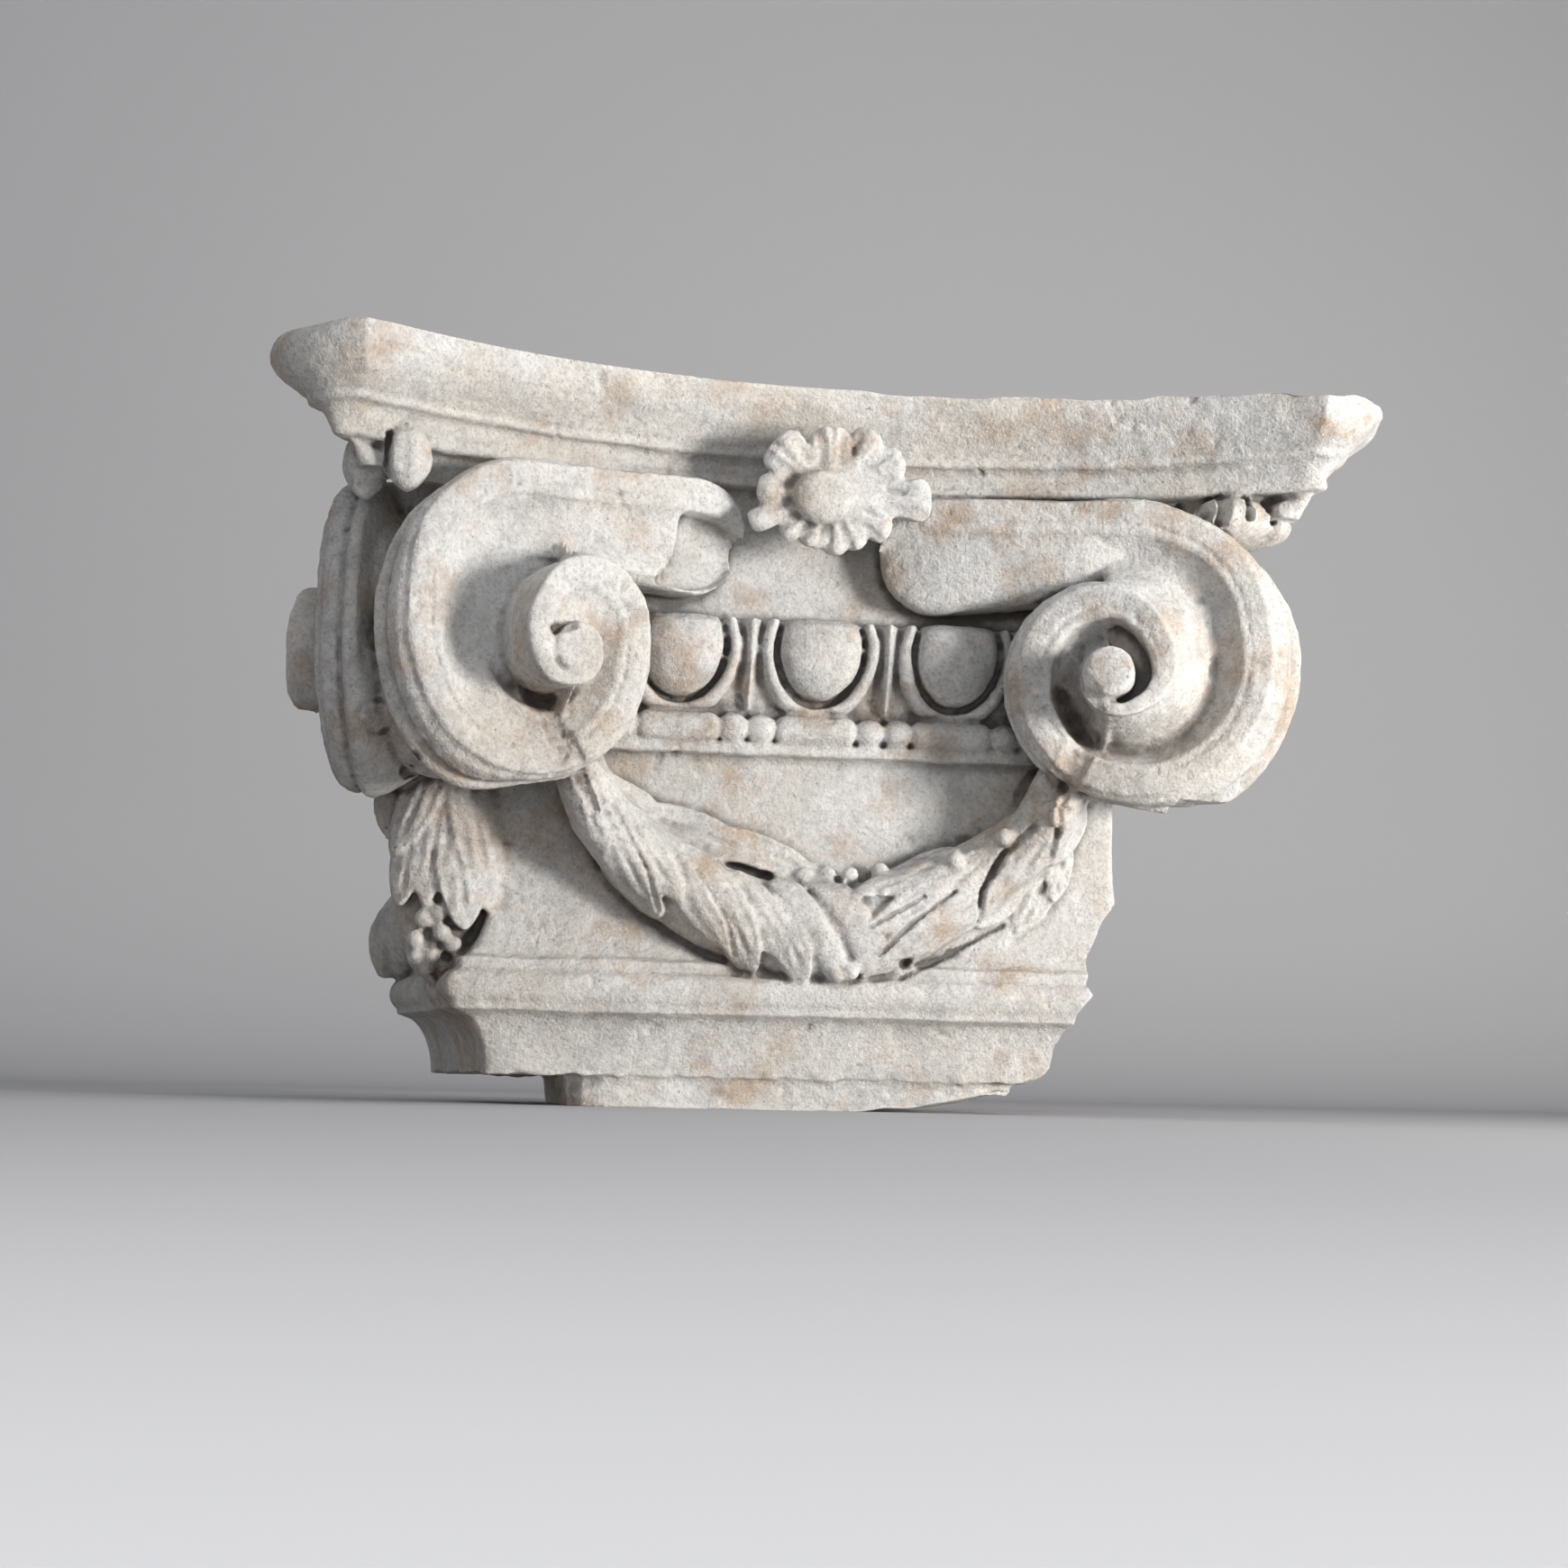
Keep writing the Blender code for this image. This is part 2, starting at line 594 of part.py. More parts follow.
def leaf(u, lane, length=LEAF_LENGTH, width=LEAF_WIDTH):
    """One pointed leaf laid on the swag, its tip towards the middle."""
    here, ahead, across = garland_frame(u)
    high, deep = garland_size(u)
    tip_way = -ahead * math.copysign(1.0, u)
    forward = np.array([0.0, -1.0, 0.0])
    spread = math.radians(24) * lane
    along = tip_way * math.cos(spread) + across * math.sin(spread)
    beside = np.cross(forward, along)
    root = here + across * high * lane * 0.72 + forward * deep * 0.80 * math.cos(lane * 1.1)
    shape = ((-0.35, 0.0, 0.0), (0.05, 0.5, 0.25), (0.45, 0.45, 0.5), (0.78, 0.22, 0.7), (1.0, 0.0, 0.8))
    outline = [root + along * length * a + beside * width * b + forward * LEAF_THICKNESS * c
               for a, b, c in shape]
    outline += [root + along * length * a - beside * width * b + forward * LEAF_THICKNESS * c
                for a, b, c in shape[3:0:-1]]
    ridge = [root + along * length * a + forward * LEAF_THICKNESS * c for a, c in ((0.1, 0.95), (0.6, 1.15))]
    keel = root + along * length * 0.35 - forward * 0.022
    points = np.array(outline + ridge + [keel])
    faces = [(0, 1, 8), (1, 2, 9, 8), (2, 3, 9), (3, 4, 9), (4, 5, 9), (5, 6, 9), (6, 7, 8, 9), (7, 0, 8)]
    faces += [(10, (side + 1) % 8, side) for side in range(8)]
    return points, faces


def garland_leaves(first=-1.0, last=1.0):
    """Rows of leaves on both halves of the swag."""
    bodies = []
    for row, u in enumerate((0.93, 0.76, 0.59, 0.42, 0.25)):
        lanes = (-0.9, 0.1) if row % 2 else (-0.3, 0.9)
        for lane in lanes + ((0.45,) if u < 0.7 and row % 2 else ()):
            for way in (-1.0, 1.0):
                if first <= way * u <= last:
                    bodies.append(leaf(way * u, lane))
    return bodies


def garland_tie():
    """The crossed ribbon and the berries in the middle of the swag."""
    bodies = []
    for way in (-1.0, 1.0):
        rings = []
        for t in np.linspace(-1.0, 1.0, 6):
            x = way * 0.032 * t
            z = GARLAND_LOW + 0.026 - 0.044 * t
            y = -NECK_HALF_WIDTH - 0.010 - GARLAND_RELIEF * (0.98 - 0.62 * t * t)
            rings.append([(x - 0.008, y + 0.02, z), (x - 0.008, y, z), (x + 0.008, y, z), (x + 0.008, y + 0.02, z)])
        bodies.append(loft(rings))
    for x, z, depth in ((0.008, 0.070, 0.012), (0.029, 0.066, 0.012), (-0.012, 0.066, 0.012)):
        centre = (x, -NECK_HALF_WIDTH - GARLAND_RELIEF * 0.4 - depth, GARLAND_LOW + z - 0.004)
        bodies.append(ball(centre, (BERRY_RADIUS,) * 3, 6, 3))
    return bodies


def move(bodies, *maps):
    """Carry bodies through one or more point maps."""
    moved = []
    for points, faces in bodies:
        for carry in maps:
            points = carry(points)
        moved.append((points, faces))
    return moved


def splay(points):
    """Lean points of the left side outward towards the back, as the splayed side does."""
    points = np.array(points, float)
    points[:, 0] -= SIDE_SPLAY * (points[:, 1] + NECK_HALF_WIDTH) / NECK_HALF_WIDTH
    return points


def egg_band(first, last):
    """Eggs, shells, darts and the bead string of one face."""
    bodies = [bead_string(first, last)]
    for step in range(first, last + 1):
        bodies.append(egg(step * EGG_SPACING))
        bodies.append(egg_shell(step * EGG_SPACING))
        bodies.append(dart((step + 0.5) * EGG_SPACING))
    return bodies


def all_bodies():
    """Every closed body that is fused into the block, in the order of the courses."""
    bodies = scroll_parts(RIGHT_ARM_LENGTH) + [corner_filler()]
    left_scroll = move(scroll_parts(LEFT_ARM_LENGTH), mirror_x)
    bodies += left_scroll + move([corner_filler()], mirror_x)
    bodies += move(left_scroll, to_left_side)
    bodies += corner_leaf(RIGHT_LEAF_SPREAD)
    bodies += move(corner_leaf(LEFT_LEAF_SPREAD), mirror_x)
    bodies += egg_band(-1, 1)
    bodies += move(egg_band(-1, 0), to_left_side, splay)
    bodies += rosette()
    bodies += move(rosette(), to_left_side)
    bodies += [garland_core()] + garland_leaves() + garland_tie()
    side = [garland_core(-1.0, 0.2, 8)] + garland_leaves(-1.0, 0.0)
    bodies += move(side, to_left_side, splay)
    return bodies


def flank_cutters():
    """The broken right flank: all beyond a rough line, below the scroll and again behind it."""
    scroll_foot = POLE_HEIGHT - SCROLL_RADII[2]
    low = ((FLANK_BREAK_TOP, scroll_foot), (FLANK_BREAK_TOP - 0.010, NECK_BASE + NECK_HEIGHT * 0.42),
           (FLANK_BREAK_TOP - 0.034, NECK_BASE + NECK_HEIGHT * 0.15), (FLANK_BREAK_TOP - 0.046, NECK_BASE - 0.004),
           (FLANK_BREAK_TOP - 0.052, TORUS_BASE + 0.01), (FLANK_BREAK_TOP - 0.063, CAVETTO_TOP - 0.03),
           (FLANK_BREAK_FOOT + 0.010, FOOT_TOP - 0.004), (FLANK_BREAK_FOOT, -0.02))
    high = ((FLANK_BREAK_TOP + 0.02, BELL_TOP - 0.04), (FLANK_BREAK_TOP, scroll_foot - 0.001))
    bodies = []
    for line, front in ((low, -0.5), (high, FLANK_BREAK_DEPTH)):
        rings = []
        for depth in (front, front * 0.5 - 0.02, front * 0.25, 0.3):
            swell = 0.006 * math.cos(40 * depth)
            ring = [(x + swell, depth, z) for x, z in line]
            rings.append(ring + [(0.7, depth, line[-1][1]), (0.7, depth, line[0][1])])
        bodies.append(loft(rings))
    return bodies


def box(low, high):
    """Return a plain box between two corners."""
    rings = []
    for z in (low[2], high[2]):
        rings.append([(low[0], low[1], z), (high[0], low[1], z), (high[0], high[1], z), (low[0], high[1], z)])
    return loft(rings)


def top_cutter():
    """The worn strip along the top edge of the abacus, deeper towards the right."""
    rings = []
    for x, drop, width in ((-0.05, -0.002, 0.02), (0.10, TOP_EDGE_WEAR * 0.6, 0.03),
                           (0.25, TOP_EDGE_WEAR, 0.045), (0.48, TOP_EDGE_WEAR * 0.9, 0.09)):
        edge = -(ABACUS_CENTRE + 1.0 * x * abs(x))
        rings.append([(x, edge - 0.3, ABACUS_TOP - drop), (x, edge + width, ABACUS_TOP + 0.004),
                      (x, edge + width, ABACUS_TOP + 0.05), (x, edge - 0.3, ABACUS_TOP + 0.05)])
    return loft(rings)


def horn_cutter():
    """The worn end of the right horn."""
    end = ABACUS_REACH - RIGHT_HORN_WEAR
    return box((end, -0.6, BELL_TOP - 0.1), (0.6, 0.3, ABACUS_TOP + 0.1))


def fuse(target, tool, operation):
    """Apply one Boolean to the target and delete the tool.

    Both meshes are closed. The manifold solver keeps them so where many carved bodies graze each other.
    """
    modifier = target.modifiers.new("cut", "BOOLEAN")
    modifier.operation = operation
    modifier.solver = "MANIFOLD"
    modifier.object = tool
    bpy.context.view_layer.update()
    evaluated = target.evaluated_get(bpy.context.evaluated_depsgraph_get())
    result = bpy.data.meshes.new_from_object(evaluated)
    target.modifiers.clear()
    target.data = result
    bpy.data.objects.remove(tool)


def merge_flat_faces(mesh):
    """Join faces that lie nearly in one plane, at the widest angle that keeps the body closed."""
    for angle in FLAT_ANGLES:
        bm = bmesh.new()
        bm.from_mesh(mesh)
        bmesh.ops.dissolve_limit(bm, angle_limit=math.radians(angle), verts=bm.verts, edges=bm.edges)
        bmesh.ops.triangulate(bm, faces=bm.faces)
        closed = all(len(edge.link_faces) == 2 for edge in bm.edges)
        if closed:
            bm.to_mesh(mesh)
        bm.free()
        if closed:
            return


def stone():
    """The marble's plain colour and finish."""
    material = bpy.data.materials.new("marble")
    material.use_nodes = True
    shader = material.node_tree.nodes["Principled BSDF"]
    shader.inputs["Base Color"].default_value = STONE_COLOUR
    shader.inputs["Roughness"].default_value = STONE_ROUGHNESS
    shader.inputs["Metallic"].default_value = 0.0
    return material


def build_capital():
    """Fuse the block, saw its back flat, break its flank and set it on its underside."""
    capital, foot = make_body()
    fuse(capital, foot, "UNION")
    fuse(capital, make_abacus(), "UNION")
    for body in all_bodies():
        fuse(capital, mesh_object("carving", [body]), "UNION")
    for cutter in flank_cutters() + [top_cutter(), horn_cutter()]:
        fuse(capital, mesh_object("cutter", [cutter]), "DIFFERENCE")
    fuse(capital, mesh_object("back", [box((-1, 0, -1), (1, 1, 1))]), "DIFFERENCE")
    merge_flat_faces(capital.data)
    for vertex in capital.data.vertices:
        vertex.co.y += ORIGIN_DEPTH
    capital.data.materials.clear()
    capital.data.materials.append(stone())
    capital.data.shade_smooth()
    capital.data.set_sharp_from_angle(angle=math.radians(35))
    return capital


def main():
    """Clear the scene and build the part."""
    for item in list(bpy.data.objects):
        bpy.data.objects.remove(item)
    build_capital()


main()
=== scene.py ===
"""Visual model of a weathered marble ionic capital: its carving, its stone and a plain studio.

The capital is one block with corner scrolls, a hollow-sided abacus, an egg band and a leaf festoon.
Every ornament is a closed surface worked out with numpy. The surfaces are fused into one skin, broken
and worn as the stone is, and then parted along its courses into pieces of a handy size.
Forms are set out in a carver's frame: x to the right from the axis, y back from the sawn back plane
(so the front is negative), z up from the underside. The finished skin moves into the frame of the part.
"""
import logging
import math
from dataclasses import dataclass
from enum import Enum

import bpy
import numpy as np
from mathutils import Matrix, Vector


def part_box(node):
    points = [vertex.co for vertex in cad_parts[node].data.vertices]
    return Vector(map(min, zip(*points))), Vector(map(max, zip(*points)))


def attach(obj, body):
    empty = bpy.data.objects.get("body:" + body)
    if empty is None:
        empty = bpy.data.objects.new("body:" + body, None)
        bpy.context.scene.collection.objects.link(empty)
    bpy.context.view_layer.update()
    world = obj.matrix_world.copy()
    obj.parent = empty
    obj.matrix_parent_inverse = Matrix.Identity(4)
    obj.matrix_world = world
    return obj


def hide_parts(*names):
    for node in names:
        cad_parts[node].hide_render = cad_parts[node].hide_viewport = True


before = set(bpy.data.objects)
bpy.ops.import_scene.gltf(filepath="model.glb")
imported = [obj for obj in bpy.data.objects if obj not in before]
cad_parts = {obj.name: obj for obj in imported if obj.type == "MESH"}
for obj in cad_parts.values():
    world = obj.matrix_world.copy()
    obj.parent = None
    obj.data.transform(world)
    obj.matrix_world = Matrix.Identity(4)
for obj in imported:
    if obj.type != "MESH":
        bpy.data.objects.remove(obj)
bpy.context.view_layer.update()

LOG = logging.getLogger("capital")
Array = np.ndarray
Body = tuple[Array, Array]
NODE = "capital"


def smooth(value: Array | float, low: float, high: float) -> Array:
    """Smooth step: 3t^2 - 2t^3 of the share t of the way from low to high.

    Args:
        value: Where to evaluate the step.
        low: Where the step is 0.
        high: Where the step is 1.

    Returns:
        The step, between 0 and 1.
    """
    t = np.clip((np.asarray(value, float) - low) / (high - low), 0.0, 1.0)
    return t * t * (3.0 - 2.0 * t)


def oriented(points: Array, triangles: Array) -> Body:
    """Turn a closed surface the right way out, by the sign of the volume that it encloses.

    Args:
        points: Vertex positions, n by 3.
        triangles: Vertex numbers, m by 3.

    Returns:
        The points and the triangles, pointing out.
    """
    a, b, c = (points[triangles[:, corner]] - points.mean(axis=0) for corner in range(3))
    volume = np.einsum("ij,ij->", a, np.cross(b, c))
    return points, triangles if volume > 0 else triangles[:, ::-1]


def tube(rings: Array) -> Body:
    """Skin a stack of rings with quads cut in two, and close each end with a fan to its middle.

    Args:
        rings: Ring points, number of rings by points on a ring by 3.

    Returns:
        The closed body.
    """
    rings = np.asarray(rings, float)
    count, sides = rings.shape[:2]
    points = np.vstack([rings.reshape(-1, 3), rings[0].mean(axis=0), rings[-1].mean(axis=0)])
    ring, side = np.meshgrid(np.arange(count - 1), np.arange(sides), indexing="ij")
    low = (ring * sides + side).ravel()
    turned = (ring * sides + (side + 1) % sides).ravel()
    walls = [np.stack([low, turned, turned + sides], -1), np.stack([low, turned + sides, low + sides], -1)]
    around = np.arange(sides)
    after = (around + 1) % sides
    last = (count - 1) * sides
    hub = np.full(sides, count * sides)
    ends = [np.stack([after, around, hub], -1), np.stack([around + last, after + last, hub + 1], -1)]
    return oriented(points, np.vstack(walls + ends))


def slab(front: Array, back: Array) -> Body:
    """Close the space between two grids of the same shape.

    Args:
        front: The outer surface, rows by columns by 3.
        back: The inner surface, in the same order.

    Returns:
        The closed body.
    """
    return tube(np.concatenate([front, back[:, ::-1]], axis=1))


def ball(centre: tuple[float, ...], radii: tuple[float, ...], steps: int = 14) -> Body:
    """An ellipsoid: latitude rings of radius cos(lift), at height sin(lift).

    Args:
        centre: Its middle.
        radii: Its three half sizes.
        steps: Rings from pole to pole.

    Returns:
        The closed body.
    """
    lift = np.linspace(-math.pi / 2, math.pi / 2, steps + 1)[1:-1, None]
    turn = np.linspace(0.0, math.tau, 2 * steps, endpoint=False)[None, :]
    unit = np.stack([np.cos(lift) * np.cos(turn), np.cos(lift) * np.sin(turn),
                     np.sin(lift) * np.ones_like(turn)], -1)
    return tube(np.asarray(centre) + unit * np.asarray(radii))


def mirrored(body: Body) -> Body:
    """Reflect a body left to right, keeping it the right way out."""
    points, triangles = body
    return points * (-1.0, 1.0, 1.0), triangles[:, ::-1]


def joined(bodies: list[Body]) -> Body:
    """Put several bodies into one pair of arrays, without fusing them."""
    offsets = np.cumsum([0] + [len(points) for points, _ in bodies[:-1]])
    triangles = [faces + offset for (_, faces), offset in zip(bodies, offsets)]
    return np.vstack([points for points, _ in bodies]), np.vstack(triangles)


def mesh_object(name: str, body: Body) -> bpy.types.Object:
    """Put a body into a new mesh object at the origin.

    Args:
        name: The object's name.
        body: Its points and triangles.

    Returns:
        The object, linked to the scene.
    """
    points, triangles = body
    mesh = bpy.data.meshes.new(name)
    mesh.vertices.add(len(points))
    mesh.vertices.foreach_set("co", points.astype(np.float32).ravel())
    mesh.loops.add(triangles.size)
    mesh.loops.foreach_set("vertex_index", triangles.astype(np.int32).ravel())
    mesh.polygons.add(len(triangles))
    mesh.polygons.foreach_set("loop_start", np.arange(0, triangles.size, 3, dtype=np.int32))
    mesh.update(calc_edges=True)
    item = bpy.data.objects.new(name, mesh)
    bpy.context.collection.objects.link(item)
    return item


def mesh_points(mesh: bpy.types.Mesh) -> Array:
    """Read a mesh's vertex positions as an n by 3 array."""
    points = np.empty(len(mesh.vertices) * 3, dtype=np.float32)
    mesh.vertices.foreach_get("co", points)
    return points.reshape(-1, 3).astype(float)


def mesh_normals(mesh: bpy.types.Mesh) -> Array:
    """Read a mesh's vertex normals as an n by 3 array."""
    normals = np.empty(len(mesh.vertices) * 3, dtype=np.float32)
    mesh.vertex_normals.foreach_get("vector", normals)
    return normals.reshape(-1, 3).astype(float)


def set_points(mesh: bpy.types.Mesh, points: Array) -> None:
    """Write vertex positions back into a mesh."""
    mesh.vertices.foreach_set("co", points.astype(np.float32).ravel())
    mesh.update()


def apply_modifier(item: bpy.types.Object, kind: str, **settings: object) -> None:
    """Run one modifier on an object and keep its result as the mesh.

    Args:
        item: The object.
        kind: The modifier's type.
        settings: Its properties.
    """
    modifier = item.modifiers.new(kind.lower(), kind)
    for key, value in settings.items():
        setattr(modifier, key, value)
    evaluated = item.evaluated_get(bpy.context.evaluated_depsgraph_get())
    result = bpy.data.meshes.new_from_object(evaluated)
    item.modifiers.clear()
    old = item.data
    item.data = result
    bpy.data.meshes.remove(old)


def lattice_noise(points: Array, grain: float, seed: int) -> Array:
    """Value noise: random numbers on a lattice, blended by smooth steps between eight corners.

    Args:
        points: Where to read it, n by 3.
        grain: Spacing of the lattice in metres.
        seed: Which noise.

    Returns:
        One number from -1 to 1 for each point.
    """
    cell = points / grain + 1000.0
    base = np.floor(cell).astype(np.int64)
    t = cell - base
    t = t * t * (3.0 - 2.0 * t)
    total = np.zeros(len(points))
    for corner in range(8):
        step = np.array([corner & 1, corner >> 1 & 1, corner >> 2])
        key = (base + step) * np.array([73856093, 19349663, 83492791])
        mixed = key[:, 0] ^ key[:, 1] ^ key[:, 2] ^ (seed * 265443576)
        mixed = (mixed ^ mixed >> 13) * 1274126177
        value = (mixed >> 8 & 0xFFFF) / 32767.5 - 1.0
        total += value * np.prod(np.where(step, t, 1.0 - t), axis=1)
    return total


class Side(Enum):
    """Which half of the front a scroll stands on."""

    RIGHT = "right"
    LEFT = "left"


@dataclass(frozen=True)
class Courses:
    """Heights of the courses and the main reaches of the block, in metres."""

    foot: float = 0.024
    cavetto: float = 0.051
    low_fillet: float = 0.004
    torus: float = 0.028
    top_fillet: float = 0.010
    neck: float = 0.171
    bead_fillet: float = 0.010
    bead: float = 0.024
    egg_band: float = 0.076
    bell: float = 0.115
    fascia: float = 0.019
    band: float = 0.053
    half_neck: float = 0.258
    side_splay: float = 0.040
    foot_setback: float = 0.003
    bead_reach: float = 0.014
    egg_reach: float = 0.040
    bell_reach: float = 0.022
    behind: float = 0.060

    @property
    def cavetto_top(self) -> float:
        """Level of the top of the hollow moulding."""
        return self.foot + self.cavetto

    @property
    def torus_base(self) -> float:
        """Level of the underside of the round moulding."""
        return self.cavetto_top + self.low_fillet

    @property
    def neck_base(self) -> float:
        """Level where the plain neck starts."""
        return self.torus_base + self.torus + self.top_fillet

    @property
    def neck_top(self) -> float:
        """Level of the fillet under the beads."""
        return self.neck_base + self.neck

    @property
    def bead_base(self) -> float:
        """Level of the underside of the beads."""
        return self.neck_top + self.bead_fillet

    @property
    def egg_base(self) -> float:
        """Level of the underside of the egg band."""
        return self.bead_base + self.bead

    @property
    def egg_top(self) -> float:
        """Level where the eggs are cut off."""
        return self.egg_base + self.egg_band

    @property
    def bell_top(self) -> float:
        """Level of the underside of the abacus."""
        return self.egg_top + self.bell

    @property
    def band_base(self) -> float:
        """Level of the fillet between the abacus's two bands."""
        return self.bell_top + self.fascia

    @property
    def top(self) -> float:
        """Level of the top bed."""
        return self.band_base + self.band

    @property
    def axis_depth(self) -> float:
        """How far the part's origin lies in front of the sawn back."""
        return (self.half_neck - self.foot_setback) / 2.0

    def ovolo(self, height: Array | float) -> Array:
        """Forward reach of the egg band's ground: a quarter of a sine from its foot to its top."""
        share = np.clip((np.asarray(height) - self.egg_base) / self.egg_band, 0.0, 1.0)
        swell = (self.egg_reach - self.bead_reach - 0.006) * np.sin(share * math.pi / 2)
        return self.half_neck + self.bead_reach - 0.002 + swell


COURSES = Courses()


@dataclass(frozen=True)
class Block:
    """The moulded core: hollow foot moulding, round moulding, plain neck and bell, over a broken foot."""

    corner: float = 0.006
    foot_half_width: float = 0.192
    foot_right: float = 0.178
    neck_flare: float = 0.018
    cavetto_reach: float = 0.030
    torus_reach: float = 0.038
    fillet_reach: float = 0.028

    def profile(self) -> Array:
        """Heights and half widths of the mouldings, from the foot up into the abacus.

        The hollow is 1 - sqrt(1 - s^2), the round is a cosine of its angle and the neck flares out
        at its foot as exp(-7s).

        Returns:
            Rows of height and half width.
        """
        c = COURSES
        neck = c.half_neck
        share = np.linspace(0.0, 1.0, 14)
        hollow = np.stack([c.foot + c.cavetto * share,
                           neck + 0.004 + (self.cavetto_reach - 0.004) * (1 - np.sqrt(1 - share**2))], -1)
        angle = np.radians(np.linspace(-90, 90, 13))
        roll = np.stack([c.torus_base + c.torus / 2 * (1 + np.sin(angle)),
                         neck + self.torus_reach - 0.011 + 0.011 * np.cos(angle)], -1)
        fillet = [(c.torus_base + c.torus + 0.0005, neck + self.fillet_reach),
                  (c.neck_base - 0.0015, neck + self.fillet_reach),
                  (c.neck_base, neck + self.fillet_reach - 0.0025)]
        rise = np.linspace(0.01, 0.97, 24)
        shaft = np.stack([c.neck_base + c.neck * rise,
                          neck + (self.neck_flare + 0.004) * np.exp(-7.0 * rise)], -1)
        bell = np.linspace(0.03, 1.0, 24)
        hollow_bell = np.stack([c.egg_top + (c.bell + c.fascia * 0.5) * bell,
                                neck + c.bell_reach - 0.012 * np.sin(bell * math.pi / 2)], -1)
        under = [(c.neck_top, neck + 0.002), (c.neck_top + 0.001, neck + c.bead_reach - 0.001),
                 (c.bead_base, neck + c.bead_reach), (c.bead_base + 0.001, neck + 0.006),
                 (c.egg_base - 0.001, neck + 0.006), (c.egg_base, neck + c.bead_reach - 0.004)]
        rows = [(c.cavetto_top + 0.0004, neck + self.cavetto_reach + 0.002),
                (c.torus_base, neck + self.cavetto_reach + 0.002)]
        steps = np.linspace(0.02, 1.0, 12)
        height = c.egg_base + c.egg_band * steps
        ovolo = np.stack([height, c.ovolo(height) - 0.012], -1)
        return np.vstack([hollow, rows, roll, fillet, shaft, under, ovolo, hollow_bell])

    def outline(self, half_width: Array) -> Array:
        """Plan at each level: flat back, rounded front corners, left side splayed to the back.

        Args:
            half_width: Half widths, one for each level.

        Returns:
            Plan points, levels by points by 2.
        """
        c = COURSES
        half = np.asarray(half_width)[:, None]
        turn = np.radians(np.linspace(0.0, 90.0, 6))[None, :]
        right_x = half - self.corner + self.corner * np.cos(turn)
        right_y = -half + self.corner - self.corner * np.sin(turn)
        left_x = -half + self.corner - self.corner * np.cos(turn[:, ::-1])
        left_y = -half + self.corner - self.corner * np.sin(turn[:, ::-1])
        back_left = -half - c.side_splay * half / c.half_neck
        x = np.hstack([half, right_x, left_x, back_left])
        y = np.hstack([half * 0 + c.behind, right_y, left_y, half * 0 + c.behind])
        return np.stack([x, y], -1)

    def bodies(self) -> list[Body]:
        """The moulded core and the foot below it."""
        rows = self.profile()
        plan = self.outline(rows[:, 1])
        heights = np.broadcast_to(rows[:, 0][:, None, None], plan.shape[:2] + (1,))
        core = tube(np.concatenate([plan, heights], axis=2))
        return [core, self.foot()]

    def foot(self) -> Body:
        """The broken foot: a block whose ends slope in, a little wider at its head."""
        c = COURSES
        depth = c.half_neck - c.foot_setback
        share = np.linspace(0.0, 1.0, 8)[:, None]
        grow = 0.004 * share
        left = -self.foot_half_width - grow
        right = self.foot_right + grow
        front = -depth - grow * 0.5
        x = np.hstack([left, left, left + 0.012, left + 0.03, right - 0.05, right - 0.012, right, right])
        y = np.hstack([grow * 0 + c.behind, front + 0.02, front + 0.006, front, front, front + 0.006,
                       front + 0.02, grow * 0 + c.behind])
        z = np.broadcast_to(share * (c.foot + 0.01), x.shape)
        return tube(np.stack([x, y, z], -1))


